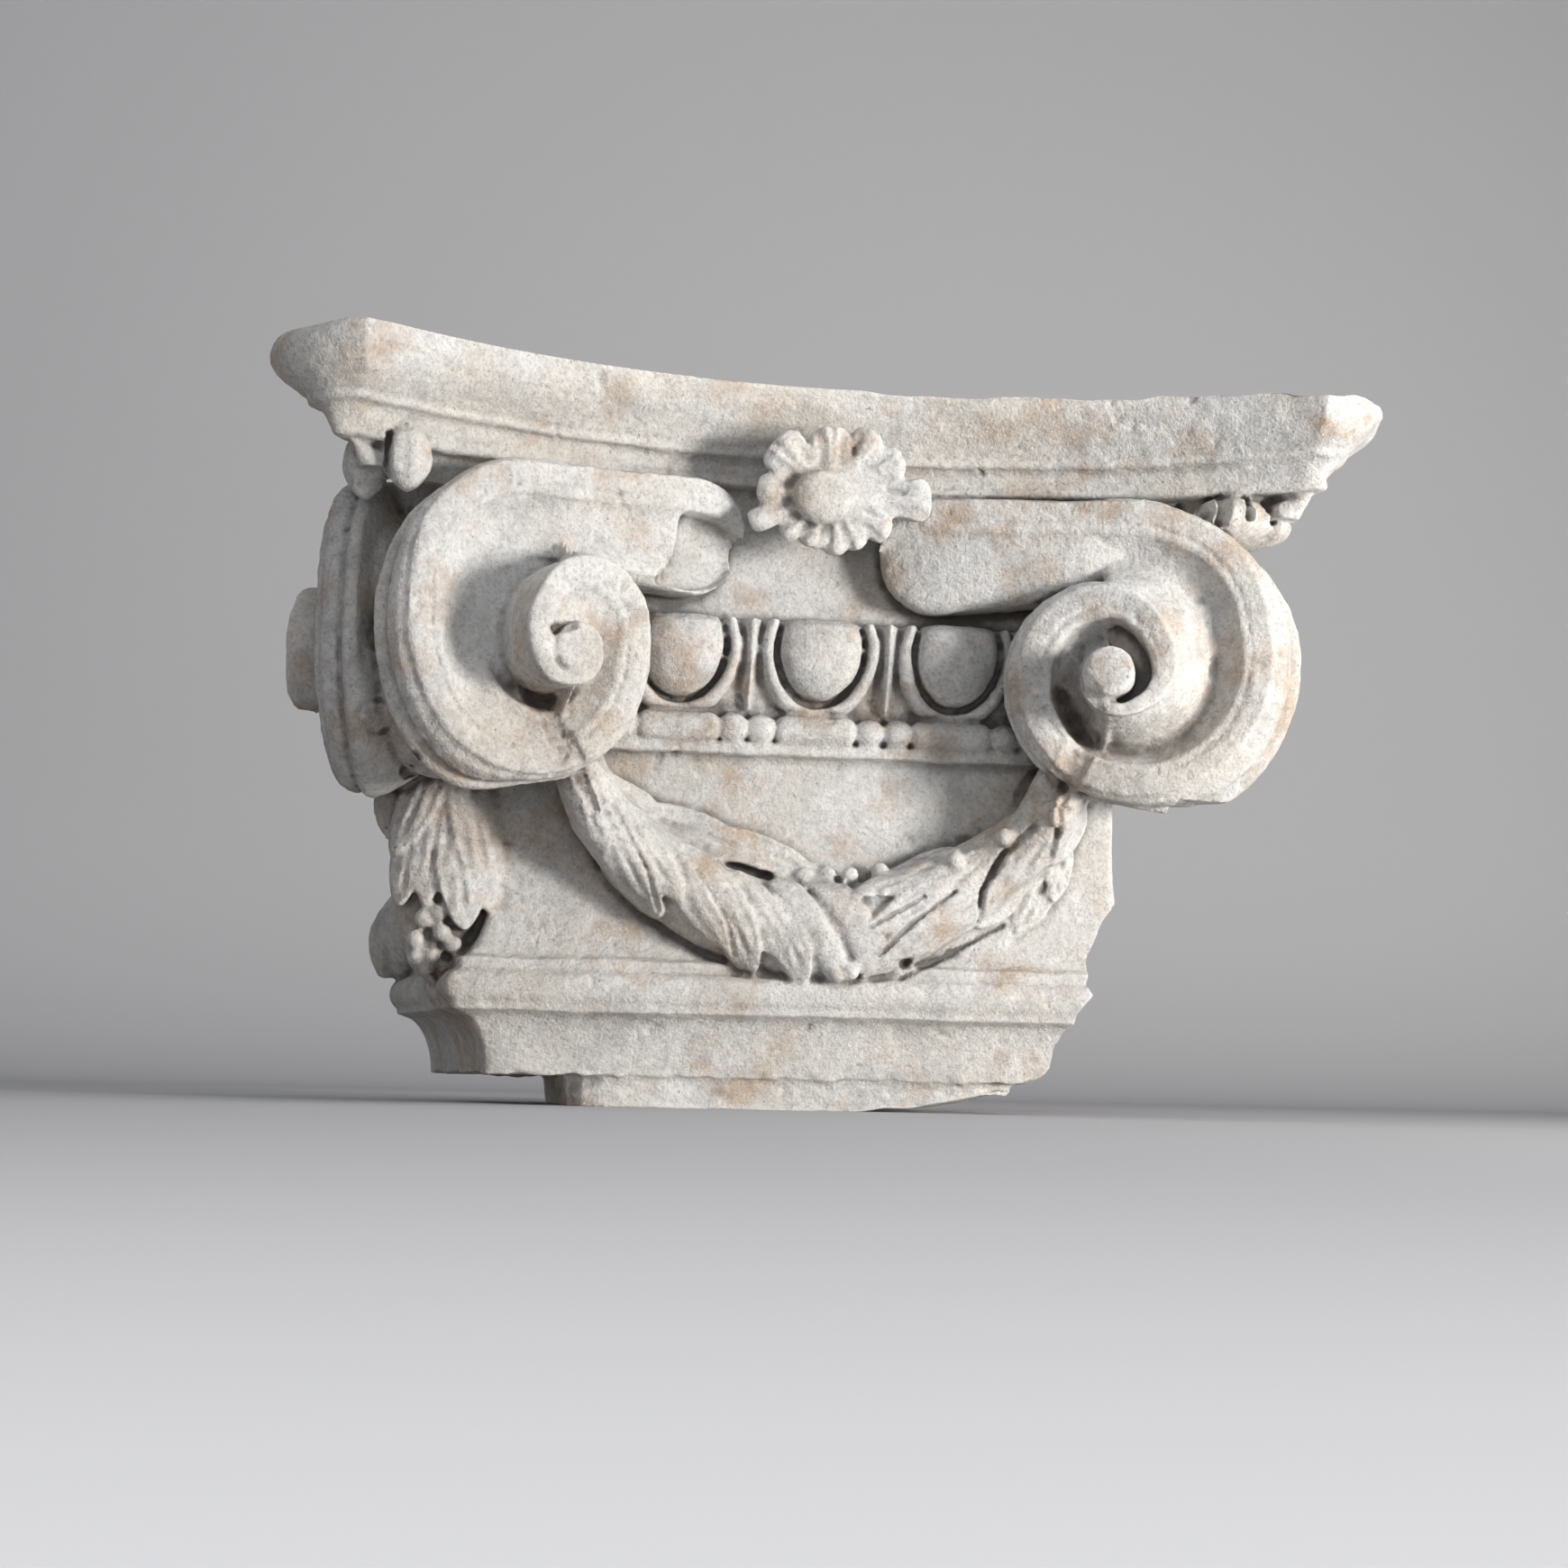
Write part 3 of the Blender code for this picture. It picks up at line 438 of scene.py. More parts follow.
@dataclass(frozen=True)
class Abacus:
    """The hollow-sided slab on top: a narrow band, a fillet and a tall flared band, with blunt horns."""

    corner: float = 0.375
    reach: float = 0.450
    centre: float = 0.324
    nose_bulge: float = 0.013
    drops: tuple[float, ...] = (0.0, 0.003, 0.007, 0.014, 0.022, 0.030, 0.037, 0.0445, 0.0470, 0.0485, 0.0500,
                                0.0510, 0.0550, 0.0560, 0.0575, 0.0600, 0.0710, 0.0725, 0.0735, 0.0785,
                                0.0790, 0.0980)
    setbacks: tuple[float, ...] = (0.0, 0.0003, 0.0015, 0.0035, 0.0085, 0.0150, 0.0215, 0.0270, 0.0285,
                                   0.0350,
                                   0.0350, 0.0285, 0.0290, 0.0360, 0.0370, 0.0375, 0.0385, 0.0400,
                                   0.0350, 0.0365,
                                   0.0500, 0.0560)
    tapers: tuple[float, ...] = (0.003, 0.0015, 0.0005, 0.0, 0.0015, 0.006, 0.013, 0.024, 0.027,
                                 0.0320, 0.0335,
                                 0.0300, 0.0330, 0.0400, 0.043, 0.045, 0.053, 0.056, 0.055, 0.058,
                                 0.080, 0.100)

    def hollow(self, corner: Array, reach: Array, centre: Array, steps: int = 140) -> Array:
        """One hollow side at each level: an arc through both corners and the middle.

        Its radius is (corner^2 + sagitta^2) / (2 sagitta), with sagitta = reach - centre.

        Args:
            corner: Sideways place of the corners.
            reach: Forward place of the corners.
            centre: Forward place of the middle.
            steps: Spans along the arc.

        Returns:
            Plan points, levels by points by 2.
        """
        sagitta = reach - centre
        radius = (corner**2 + sagitta**2) / (2.0 * sagitta)
        angle = np.arcsin(corner / radius) * np.linspace(-1.0, 1.0, steps + 1)[None, :]
        return np.stack([radius * np.sin(angle), -(centre + radius - radius * np.cos(angle))], -1)

    def horn(self, corner: Array, reach: Array, steps: int = 12) -> Array:
        """The blunt end of the right horn at each level, from its front corner round to its side corner.

        The straight end is pushed out along the diagonal by bulge (1 - t^2), t from -1 to 1.

        Args:
            corner: Sideways place of the front corner.
            reach: Forward place of the front corner.
            steps: Spans from corner to corner.

        Returns:
            Plan points without the corners, levels by points by 2.
        """
        t = np.linspace(-1.0, 1.0, steps + 1)[None, 1:-1]
        middle = (corner + reach) / 2.0 + self.nose_bulge * (1.0 - t**2)
        half = (reach - corner) / 2.0 * t
        return np.stack([middle + half, half - middle], -1)

    def bodies(self) -> list[Body]:
        """The slab, from its levels' outlines: left side, horn, front, horn, right side, back."""
        c = COURSES
        drop = np.asarray(self.drops)[::-1, None]
        setback = np.asarray(self.setbacks)[::-1, None]
        taper = np.asarray(self.tapers)[::-1, None]
        corner = self.corner + 0.02 * setback
        front = self.hollow(corner, self.reach - taper, self.centre - setback)
        half = front.shape[1] // 2
        left = front[:, half::-1, ::-1]
        right = -front[:, :half - 1:-1, ::-1]
        horn = self.horn(corner, self.reach - taper)
        horn_left = horn[:, ::-1] * (-1.0, 1.0)
        back_left = np.stack([left[:, :1, 0], left[:, :1, 0] * 0 + c.behind], -1)
        back_right = np.stack([right[:, -1:, 0], right[:, -1:, 0] * 0 + c.behind], -1)
        plan = np.concatenate([back_left, left, horn_left, front, horn, right, back_right], axis=1)
        height = np.broadcast_to((c.top - drop)[:, :, None], plan.shape[:2] + (1,))
        return [tube(np.concatenate([plan, height], axis=2))]


@dataclass(frozen=True)
class Winding:
    """How a band winds in: its outer radius after so many turns, and how its canal is cut.

    The carver's two scrolls differ: the right one is a broad even ramp with a deep hollow by its eye,
    the left one a steep coil out of a narrow channel, nearly flat inside.
    """

    turns: tuple[float, ...]
    radii_mm: tuple[float, ...]
    ramp: float
    fill: float
    inner_canal: float
    eye_hollow: float
    arm_top: float
    arm_foot: float
    arm_length: float
    climb: tuple[float, float]
    eye_rise: float

    def radius(self, age: Array | float) -> Array:
        """Outer radius after so many turns: cubic pieces through the listed radii."""
        marks, radii = np.array(self.turns), np.array(self.radii_mm) / 1000.0
        slopes = np.gradient(radii, marks)
        age = np.clip(np.asarray(age, float), marks[0], marks[-1])
        low = np.clip(np.searchsorted(marks, age, side="right") - 1, 0, len(marks) - 2)
        step = marks[low + 1] - marks[low]
        t = (age - marks[low]) / step
        return ((2 * t**3 - 3 * t**2 + 1) * radii[low] + (t**3 - 2 * t**2 + t) * step * slopes[low]
                + (3 * t**2 - 2 * t**3) * radii[low + 1] + (t**3 - t**2) * step * slopes[low + 1])


RIGHT_WINDING = Winding(
    turns=(0.0, 0.0625, 0.125, 0.1875, 0.25, 0.375, 0.5, 0.625, 0.75, 0.875, 1.0, 1.125, 1.25, 1.375, 1.5,
           1.75, 2.0),
    radii_mm=(146, 148, 146.5, 136, 127, 108, 91, 79, 75, 77, 74.5, 61, 51.5, 40, 32.5, 22, 20),
    ramp=1.0, fill=0.0, inner_canal=0.030, eye_hollow=0.028, arm_top=0.149, arm_foot=0.058, arm_length=0.145,
    climb=(0.35, 1.85), eye_rise=0.054)
LEFT_WINDING = Winding(
    turns=(0.0, 0.0625, 0.125, 0.1875, 0.25, 0.375, 0.5, 0.625, 0.75, 0.875, 1.0, 1.125, 1.25, 1.375, 1.5,
           1.75, 2.0),
    radii_mm=(151, 155, 149, 130, 118, 107, 93, 75, 66, 73, 71.5, 51.5, 40, 36, 30, 20, 18),
    ramp=0.0, fill=1.0, inner_canal=0.007, eye_hollow=0.007, arm_top=0.153, arm_foot=0.062, arm_length=0.120,
    climb=(0.30, 1.10), eye_rise=0.0505)


@dataclass(frozen=True)
class Scroll:
    """One corner scroll: an arm under the abacus, a hollow band that winds in and rises to its eye."""

    side: Side = Side.RIGHT
    winding: Winding = RIGHT_WINDING
    pole_x: float = 0.222
    pole_depth: float = 0.372
    turn: float = math.radians(17.3)
    drop: float = 0.165
    coil_rise: float = 0.050
    rim_width: float = 0.027
    canal_depth: float = 0.015
    eye_radius: float = 0.0195
    arm_lap: float = 1.16
    thickness: float = 0.035
    channel: float = 0.020

    @property
    def pole_height(self) -> float:
        """Level of the eye."""
        return COURSES.bell_top - self.drop

    def rise(self, age: Array | float) -> Array:
        """Forward height of the band's rim after so many turns."""
        return self.coil_rise * smooth(age, *self.winding.climb)

    def width(self, age: Array | float) -> Array:
        """Width of the rim: full for a turn, then narrowing towards the eye."""
        return self.rim_width - 0.018 * smooth(age, 0.95, 1.55)

    def place(self, p: Array, q: Array, n: Array) -> Array:
        """Turn scroll coordinates (outward, up, forward) into the block's, about the scroll's pole."""
        cos, sin = math.cos(self.turn), math.sin(self.turn)
        p, q, n = np.broadcast_arrays(np.asarray(p, float), q, n)
        x = self.pole_x + p * cos - n * sin
        y = -self.pole_depth - p * sin - n * cos
        return np.stack([x, y, self.pole_height + q], -1)

    def canal(self, age: Array, share: float) -> Array:
        """Forward height of the canal's floor at a share of the way from the rim to the next whorl.

        Outside the first half turn it is plainly hollow, sin(pi share). Inside it, the right scroll's
        floor ramps up to the coil, while the left one's is filled nearly level beside a deep channel.

        Args:
            age: Turns from the start of the band.
            share: 0 at the rim's inner line, 1 at the next whorl.

        Returns:
            Height in metres, one for each age.
        """
        rim, coil = self.rise(age), self.rise(age + 1.0)
        w = self.winding
        outer_half = 1.0 - smooth(age, 0.48, 0.62)
        bowl = self.canal_depth * (0.35 + 0.75 * math.sin(math.pi * min(share * 1.1, 1.0) ** 0.8))
        ramp = (coil - rim) * 0.86 * smooth(share, 0.34, 1.02) * w.ramp
        filled = w.fill * smooth(age, 0.24, 0.36)
        channel = 0.006 * smooth(share, 0.62, 0.84) * w.fill
        first = rim - bowl * (1.0 - 0.75 * filled * (1.0 - smooth(share, 0.60, 0.80))) - channel + ramp
        inner = rim - w.inner_canal * math.sin(math.pi * (0.12 + 0.80 * share)) ** 0.6
        return first * outer_half + inner * (1.0 - outer_half)

    def drum(self, steps: int = 180) -> list[Body]:
        """The scroll's body as radial slices: hollow band in front, corner bolster behind.

        Args:
            steps: Slices in one turn.

        Returns:
            Two halves that overlap a little.
        """
        halves = []
        for first, last in ((-0.004, 0.504), (0.496, 1.004)):
            age = np.linspace(first, last, steps // 2 + 1)
            angle = math.pi / 2 - math.tau * age
            cos, sin = np.cos(angle), np.sin(angle)
            outer = self.winding.radius(age) - 0.0015
            inner = self.winding.radius(age + 1.0)
            rim, coil = self.rise(age), self.rise(age + 1.0)
            outward = smooth(cos - 0.25 * sin, 0.15, 1.0) * (1.0 - 0.22 * self.winding.fill)
            lower = -0.62 * np.minimum(sin, 0.0) * smooth(cos, 0.05, 0.65)
            upper = smooth(sin, -0.25, 0.25)
            second = np.minimum(self.width(age + 1.0), (inner - self.eye_radius) * 0.8)
            zero = np.zeros_like(age)
            thick = self.thickness
            band = [
                (zero, zero - 0.02, 4.2, 0.0, -0.6), (outer * 0.40, zero - 0.02, 4.2, 0.0, -0.6),
                (outer * 0.72, zero - 0.02, 2.0, 0.2, 0.0), (outer - self.channel * upper, zero, 1.05,
                                                             0.95, 0.0),
                (outer + 0.003, rim * 0.4, 0.92, 0.92, 0.0), (outer + 0.006, rim * 0.5, 0.76, 0.80, 0.0),
                (outer + 0.005, rim * 0.5, 0.66, 0.70, 0.0), (outer + 0.001, rim * 0.6, 0.62, 0.64, 0.0),
                (outer + 0.001, rim * 0.6, 0.52, 0.52, 0.0), (outer + 0.005, rim * 0.7, 0.47, 0.48, 0.0),
                (outer + 0.005, rim * 0.8, 0.20, 0.22, 0.0), (outer, rim - 0.003, 0.0, 0.0, 0.0)]
            rings = []
            for radius, height, back, aside, shift in band:
                point = self.place(radius * cos, radius * sin, height)
                side = thick * (aside * outward + shift)
                ring_shift = [side + zero, back * thick + zero, -thick * aside * lower]
                rings.append(point + np.stack(ring_shift, -1))
            face = [(outer - self.width(age) * 0.9, rim - 0.005)]
            start = outer - self.width(age)
            for share in (0.02, 0.10, 0.20, 0.32, 0.45, 0.58, 0.68, 0.76, 0.84, 0.92, 0.985):
                face.append((start + (inner - start) * share, self.canal(age, share)))
            hollow = coil - self.winding.eye_hollow
            face += [(inner - 0.0015, coil - 0.004), (inner - 0.5 * second, coil - 0.005),
                     (inner - second, coil - 0.006), (inner - second - 0.002, np.minimum(coil - 0.007,
                                                                                         hollow)),
                     (zero + 0.004, hollow), (zero, hollow)]
            rings += [self.place(radius * cos, radius * sin, height) for radius, height in face]
            halves.append(tube(np.stack(rings, axis=1)))
        return halves

    def rim(self, steps: int = 150) -> Body:
        """The raised edge of the band: a flat fillet with a cut line, swept round the spiral."""
        turns = 1.72
        age = np.linspace(-0.01, turns, int(steps * turns))
        angle = math.pi / 2 - math.tau * age
        outer = self.winding.radius(np.maximum(age, 0.0))
        width = self.width(age)
        top = self.rise(age)
        root = top - 0.014 - 0.024 * smooth(age, 0.7, 1.2)
        section = ((0.0, None), (0.0, -0.0015), (0.05, 0.0), (0.62, 0.0005), (0.66, -0.0035), (0.74, -0.0035),
                   (0.78, 0.0), (0.90, -0.0005), (1.0, -0.0025), (1.06, None))
        rings = []
        for across, lift in section:
            height = root if lift is None else top + lift
            radius = outer - width * across
            rings.append(self.place(radius * np.cos(angle), radius * np.sin(angle), height))
        return tube(np.stack(rings, axis=1))

    def eye(self) -> Body:
        """The round boss that the band winds in to, a little domed."""
        turn = np.linspace(0.0, math.tau, 40, endpoint=False)[None, :]
        share = np.array([1.0, 1.0, 0.98, 0.90, 0.6, 0.25])[:, None]
        height = np.array([0.0, -0.004, -0.0015, 0.0, 0.001, 0.0015])[:, None]
        height = np.where(np.arange(6)[:, None] == 0, 0.0, self.winding.eye_rise + height)
        radius = self.eye_radius * share
        return tube(self.place(radius * np.cos(turn), radius * np.sin(turn), height))

    def arm(self) -> Body:
        """The straight start of the band under the abacus, hollow between rim and lip, with a round end.

        Returns:
            The closed body.
        """
        w = self.winding
        top_drop = w.arm_top - float(w.radius(0.0))
        foot_lift = float(w.radius(1.0)) - w.arm_foot
        share = np.concatenate([np.zeros(30), np.linspace(0.0, self.arm_lap, 90)])[:, None]
        bend = np.concatenate([np.radians(np.linspace(86, 2, 30)), np.zeros(90)])[:, None]
        top = w.arm_top - top_drop * share
        foot = w.arm_foot + foot_lift * share
        hollow = self.canal_depth
        rows = [(top, 0.0), (top - self.rim_width * 0.62, 0.0), (top - self.rim_width * 0.66, -0.0035),
                (top - self.rim_width * 0.74, -0.0035), (top - self.rim_width * 0.78, -0.0005),
                (top - self.rim_width, -0.0025), (top - self.rim_width - 0.001, -0.0055)]
        for across in (0.08, 0.2, 0.38, 0.56, 0.74, 0.88):
            sink = hollow * (0.34 + 0.60 * math.sin(math.pi * across ** 0.9))
            if self.side is Side.RIGHT:
                sink = hollow * (0.38 + 0.42 * across)
            rows.append((top - self.rim_width - (top - self.rim_width - foot) * across, -sink))
        rows += [(foot + 0.007, -0.011), (foot + 0.002, -0.015), (foot, -0.022), (foot + 0.004, -0.085),
                 (top + 0.006, -0.085), (top + 0.006, -0.030), (top + 0.001, -0.007)]
        middle = (top + foot) / 2
        squeeze = np.cos(bend)
        reach = -w.arm_length * (1.0 - share) - (w.arm_top - w.arm_foot) / 2 * np.sin(bend)
        rings = []
        dive = (0.003 + 0.007 * w.ramp) * smooth(share, 0.98 - 0.14 * w.ramp, self.arm_lap)
        for number, (q, n) in enumerate(rows):
            high = middle + (q - middle) * squeeze
            sunk = self.mouth(reach, high) + dive if 5 < number < 14 else 0.0
            rings.append(self.place(reach, high, n - sunk - 0.012 * (1 - squeeze)))
        return tube(np.concatenate(rings, axis=1))

    def mouth(self, p: Array, q: Array) -> Array:
        """How far the left arm's canal drops past its end, where the band's horn opens: a clean step.

        The step's edge runs at p = -107 mm + 31 mm ((102 mm - q) / 40 mm)^2 below that height.
        """
        edge = -0.107 + 0.031 * (np.clip(0.102 - q, 0.0, 0.045) / 0.040) ** 2
        return 0.019 * self.winding.fill * (1.0 - smooth(p - edge, -0.0015, 0.0015))

    def bodies(self) -> list[Body]:
        """Every body of the scroll, on its own side of the front."""
        parts = self.drum() + [self.rim(), self.eye(), self.arm()]
        return parts if self.side is Side.RIGHT else [mirrored(part) for part in parts]


@dataclass(frozen=True)
class Lobe:
    """One lobe of a corner leaf, in metres: place across the diagonal, half sizes, and drop."""

    across: float
    half_width: float
    half_depth: float
    half_height: float
    drop: float


@dataclass(frozen=True)
class Corner:
    """What fills a corner between and above its scrolls: the stone behind the channel and a curled leaf."""

    sign: float
    lobes: tuple[Lobe, ...]
    leaf_reach: float
    fill_place: float = 0.300
    fill_radius: float = 0.076
    fill_half_height: float = 0.092

    def filler(self) -> Body:
        """The stone between two scrolls, an ellipsoid on the corner's diagonal."""
        level = COURSES.bell_top - Scroll().drop
        return ball((self.sign * self.fill_place, -self.fill_place, level),
                    (self.fill_radius, self.fill_radius, self.fill_half_height), 30)

    def lobe(self, lobe: Lobe) -> Body:
        """One lobe: an ellipsoid across the diagonal, cut into ribs by 0.12 |sin(3 turn)|^5 grooves.

        Args:
            lobe: Its place and size.

        Returns:
            The closed body.
        """
        lift = np.linspace(-math.pi / 2, math.pi / 2, 34)[1:-1, None]
        turn = np.linspace(0.0, math.tau, 90, endpoint=False)[None, :]
        ribs = 1.0 - 0.12 * np.abs(np.sin(3.0 * turn + 0.4)) ** 5 * np.cos(lift)
        ribs = ribs * np.where(lift < 0.0, np.cos(lift) ** 0.35, 1.0)
        out = np.cos(lift) * np.cos(turn) * ribs * lobe.half_depth
        aside = np.cos(lift) * np.sin(turn) * ribs * lobe.half_width + lobe.across
        rise = np.sin(lift) * np.ones_like(turn) * lobe.half_height
        slant = math.sqrt(0.5)
        x = self.sign * (self.leaf_reach + (out + aside) * slant)
        y = -self.leaf_reach - (out - aside) * slant
        return tube(np.stack([x, y, COURSES.bell_top - lobe.drop + rise], -1))

    def bodies(self) -> list[Body]:
        """The filler and the leaf's lobes."""
        return [self.filler()] + [self.lobe(lobe) for lobe in self.lobes]


RIGHT_CORNER = Corner(1.0, (Lobe(0.0, 0.052, 0.030, 0.022, 0.026), Lobe(-0.034, 0.020, 0.030, 0.018, 0.028),
                            Lobe(0.036, 0.018, 0.026, 0.016, 0.024), Lobe(0.004, 0.018, 0.038, 0.018, 0.030)),
                      leaf_reach=0.342)
LEFT_CORNER = Corner(-1.0, (Lobe(-0.024, 0.018, 0.020, 0.027, 0.018), Lobe(0.021, 0.017, 0.020, 0.029, 0.018),
                            Lobe(0.0, 0.034, 0.016, 0.022, 0.010)),
                     leaf_reach=0.358)


@dataclass(frozen=True)
class EggBand:
    """Eggs in their shells with darts between, over a string of beads, along one face."""

    first: float
    last: float
    spacing: float = 0.114
    egg_half_width: float = 0.034
    egg_half_height: float = 0.0425
    egg_waist: float = 0.054
    egg_relief: float = 0.021
    slot: float = 0.0043
    shell: float = 0.0108
    shell_relief: float = 0.0105
    dart_relief: float = 0.011
    cell: float = 0.0011

    def relief(self, x: Array, z: Array) -> Array:
        """Height of the carving above the band's ground.

        With s the distance outside the egg's outline (half ellipse below its waist, straight above),
        the egg is sqrt(1 - d^2) inside, then come a slot, a shell with a cosine crown, a cut line
        and a dart whose crest falls off to both sides.

        Args:
            x: Places along the band, from the axis.
            z: Heights above the band's foot.

        Returns:
            The forward height at each place.
        """
        nearest = np.round(x / self.spacing) * self.spacing
        across = np.abs(x - nearest)
        below = np.maximum(self.egg_waist - z, 0.0) * self.egg_half_width / self.egg_half_height
        narrow = 1.0 - 0.10 * smooth(z, self.egg_waist, COURSES.egg_band)
        distance = np.sqrt((across / narrow) ** 2 + below**2)
        outside = distance - self.egg_half_width
        dome = np.sqrt(np.clip(1.0 - (distance / self.egg_half_width) ** 2, 0.0, 1.0))
        egg = 0.004 + self.egg_relief * dome ** 0.8 - 0.010 * smooth(z, 0.068, 0.078)
        share = np.clip((outside - self.slot) / self.shell, 0.0, 1.0)
        shell = self.shell_relief * np.sin(math.pi * np.clip(share * 0.94 + 0.03, 0, 1)) ** 0.35
        dart_off = self.spacing / 2 - across
        dart_width = 0.0035 + 0.0045 * z / COURSES.egg_band
        dart = self.dart_relief * np.clip(1.0 - dart_off / dart_width, -0.2, 1.0)
        height = np.where(outside < 0.0, egg, -0.005)
        height = np.where(outside > self.slot, shell, height)
        height = np.where(outside > self.slot + self.shell, -0.003, height)
        return np.where(outside > self.slot + self.shell + 0.0012, np.maximum(dart, -0.002), height)

    def band(self) -> Body:
        """The carved band as a slab: ovolo ground plus relief in front, a plane behind."""
        c = COURSES
        x = np.arange(self.first, self.last, self.cell)[:, None]
        z = np.linspace(0.0, c.egg_band, int(c.egg_band / self.cell))[None, :]
        relief = self.relief(x, z) * smooth(z, -0.001, 0.006)
        forward = c.ovolo(c.egg_base + z) - 0.002 + relief
        x, z, forward = np.broadcast_arrays(x, z, forward)
        front = np.stack([x, -forward, c.egg_base + z], -1)
        back = np.stack([x, 0 * x - c.half_neck + 0.02, c.egg_base + z], -1)
        return slab(front, back)

    def beads(self) -> Body:
        """The bead string: a turned radius along x, long beads with pairs of round ones between."""
        c = COURSES
        radius = c.bead / 2
        small = self.spacing * 0.207
        x = np.arange(self.first, self.last, 0.0012)
        phase = np.abs(x - np.round(x / self.spacing) * self.spacing)
        half_long = self.spacing / 2 - small
        inside = np.clip((half_long - phase) / 0.007, 0.0, 1.0)
        long_bead = np.sqrt(np.clip(1.0 - (1.0 - inside) ** 2, 0.0, 1.0))
        offset = np.clip(np.abs(phase - half_long - small / 2) / (small / 2), 0.0, 1.0)
        round_bead = np.sqrt(np.clip(1.0 - offset**2, 0.0, 1.0)) * 0.98
        share = 0.35 + 0.65 * np.where(phase < half_long, long_bead, round_bead)
        turn = np.linspace(0.0, math.tau, 20, endpoint=False)[None, :]
        reach = (radius * share)[:, None]
        y = -c.half_neck - c.bead_reach + 0.002 - reach * np.cos(turn)
        z = c.bead_base + radius + reach * np.sin(turn)
        return tube(np.stack([np.broadcast_to(x[:, None], y.shape), y, z], -1))

    def bodies(self) -> list[Body]:
        """The band and its beads."""
        return [self.band(), self.beads()]


@dataclass(frozen=True)
class Rosette:
    """The flower on the abacus: uneven folded petals parted by deep clefts, about a domed boss."""

    turns: tuple[float, ...] = (-180, -162, -140, -117, -83, -60, -30, 1, 34, 59, 94, 142)
    reaches_mm: tuple[float, ...] = (63, 72, 52, 46, 47, 47, 55, 82, 67, 63, 57, 66)
    boss_width: float = 0.0250
    boss_height: float = 0.0215
    forward: float = 0.350
    level: float = 0.489
    side: float = -0.002
    boss_aside: float = -0.009
    tilt: float = math.radians(10)

    def petals(self, turn: Array) -> tuple[Array, Array]:
        """Which petal each direction meets: its reach, and the place across it from -1 to 1.

        Args:
            turn: Directions in degrees from -180 to 180.

        Returns:
            Reach in metres and place across, one for each direction.
        """
        middles = np.array(self.turns, float)
        after = np.append(middles[1:], middles[0] + 360.0)
        before = np.insert(middles[:-1], 0, middles[-1] - 360.0)
        off = (turn[:, None] - middles + 180.0) % 360.0 - 180.0
        half = np.where(off > 0, (after - middles) / 2.0, (middles - before) / 2.0)
        share = off / half
        number = np.argmin(np.abs(share), axis=1)
        across = share[np.arange(len(turn)), number]
        return np.array(self.reaches_mm)[number] / 1000.0, np.clip(across, -1.0, 1.0)

    def lift(self, share: Array, across: Array) -> Array:
        """Forward height of the flower at a share of the way out and a place across a petal.

        Petals are spoon-shaped, 0.007 |2s - 1.1|^1.5, each folded along its middle and again at its
        quarters, and a cleft of 14 mm parts them. Their tips curl back.

        Args:
            share: Distance from the middle, 0 to 1 at the petal's tip.
            across: Place across the petal, -1 to 1 between its clefts.

        Returns:
            Height in metres.
        """
        spoon = 0.007 * np.abs(2.0 * share - 1.1) ** 1.5 - 0.006 * smooth(share, 0.86, 1.0)
        folds = 0.0034 * np.cos(across * math.pi * 1.5) * smooth(share, 0.40, 0.62)
        vein = -0.0060 * np.exp(-(across / 0.12) ** 2) * smooth(share, 0.42, 0.60)
        cleft = -0.014 * smooth(np.abs(across), 0.87, 1.0) * smooth(share, 0.44, 0.60)
        return spoon + folds + vein + cleft

    def bodies(self) -> list[Body]:
        """The ring of petals on its stem, and the boss."""
        out = np.array([0.0, -math.cos(self.tilt), -math.sin(self.tilt)])
        up = np.array([0.0, -math.sin(self.tilt), math.cos(self.tilt)])
        right = np.array([1.0, 0.0, 0.0])
        centre = np.array([self.side, -self.forward, self.level])
        degrees = np.linspace(-180.0, 180.0, 420, endpoint=False)
        reach, across = self.petals(degrees)
        reach = reach * (1.0 - 0.17 * np.abs(across) ** 5.0)
        shares = np.concatenate([[0.50, 0.78, 0.96], np.linspace(1.0, 0.02, 46)])[:, None]
        height = self.lift(shares, across[None, :])
        height[0], height[1], height[2] = -0.062, -0.024, -0.012
        turn = np.radians(degrees)
        x = shares * reach * np.cos(turn)
        z = shares * reach * np.sin(turn)
        rings = centre + x[..., None] * right + z[..., None] * up + height[..., None] * out
        around = np.linspace(0.0, math.tau, 60, endpoint=False)[None, :]
        dome = np.array([1.0, 1.02, 1.0, 0.93, 0.80, 0.58, 0.3, 0.1])[:, None]
        bulge = np.array([-0.02, 0.001, 0.006, 0.010, 0.0125, 0.014, 0.0145, 0.0145])[:, None]
        bx = self.boss_aside + self.boss_width * dome * np.cos(around)
        bz = self.boss_height * dome * np.sin(around)
        boss = centre + bx[..., None] * right + bz[..., None] * up + bulge[..., None] * out
        return [tube(rings), tube(boss)]


@dataclass(frozen=True)
class Leaf:
    """One leaf of the festoon, from its root to its tip, as seen on the face, in millimetres."""

    root: tuple[float, float]
    tip: tuple[float, float]
    width: float
    lift: float = 7.0
    bow: float = 0.0
    lobes: int = 0


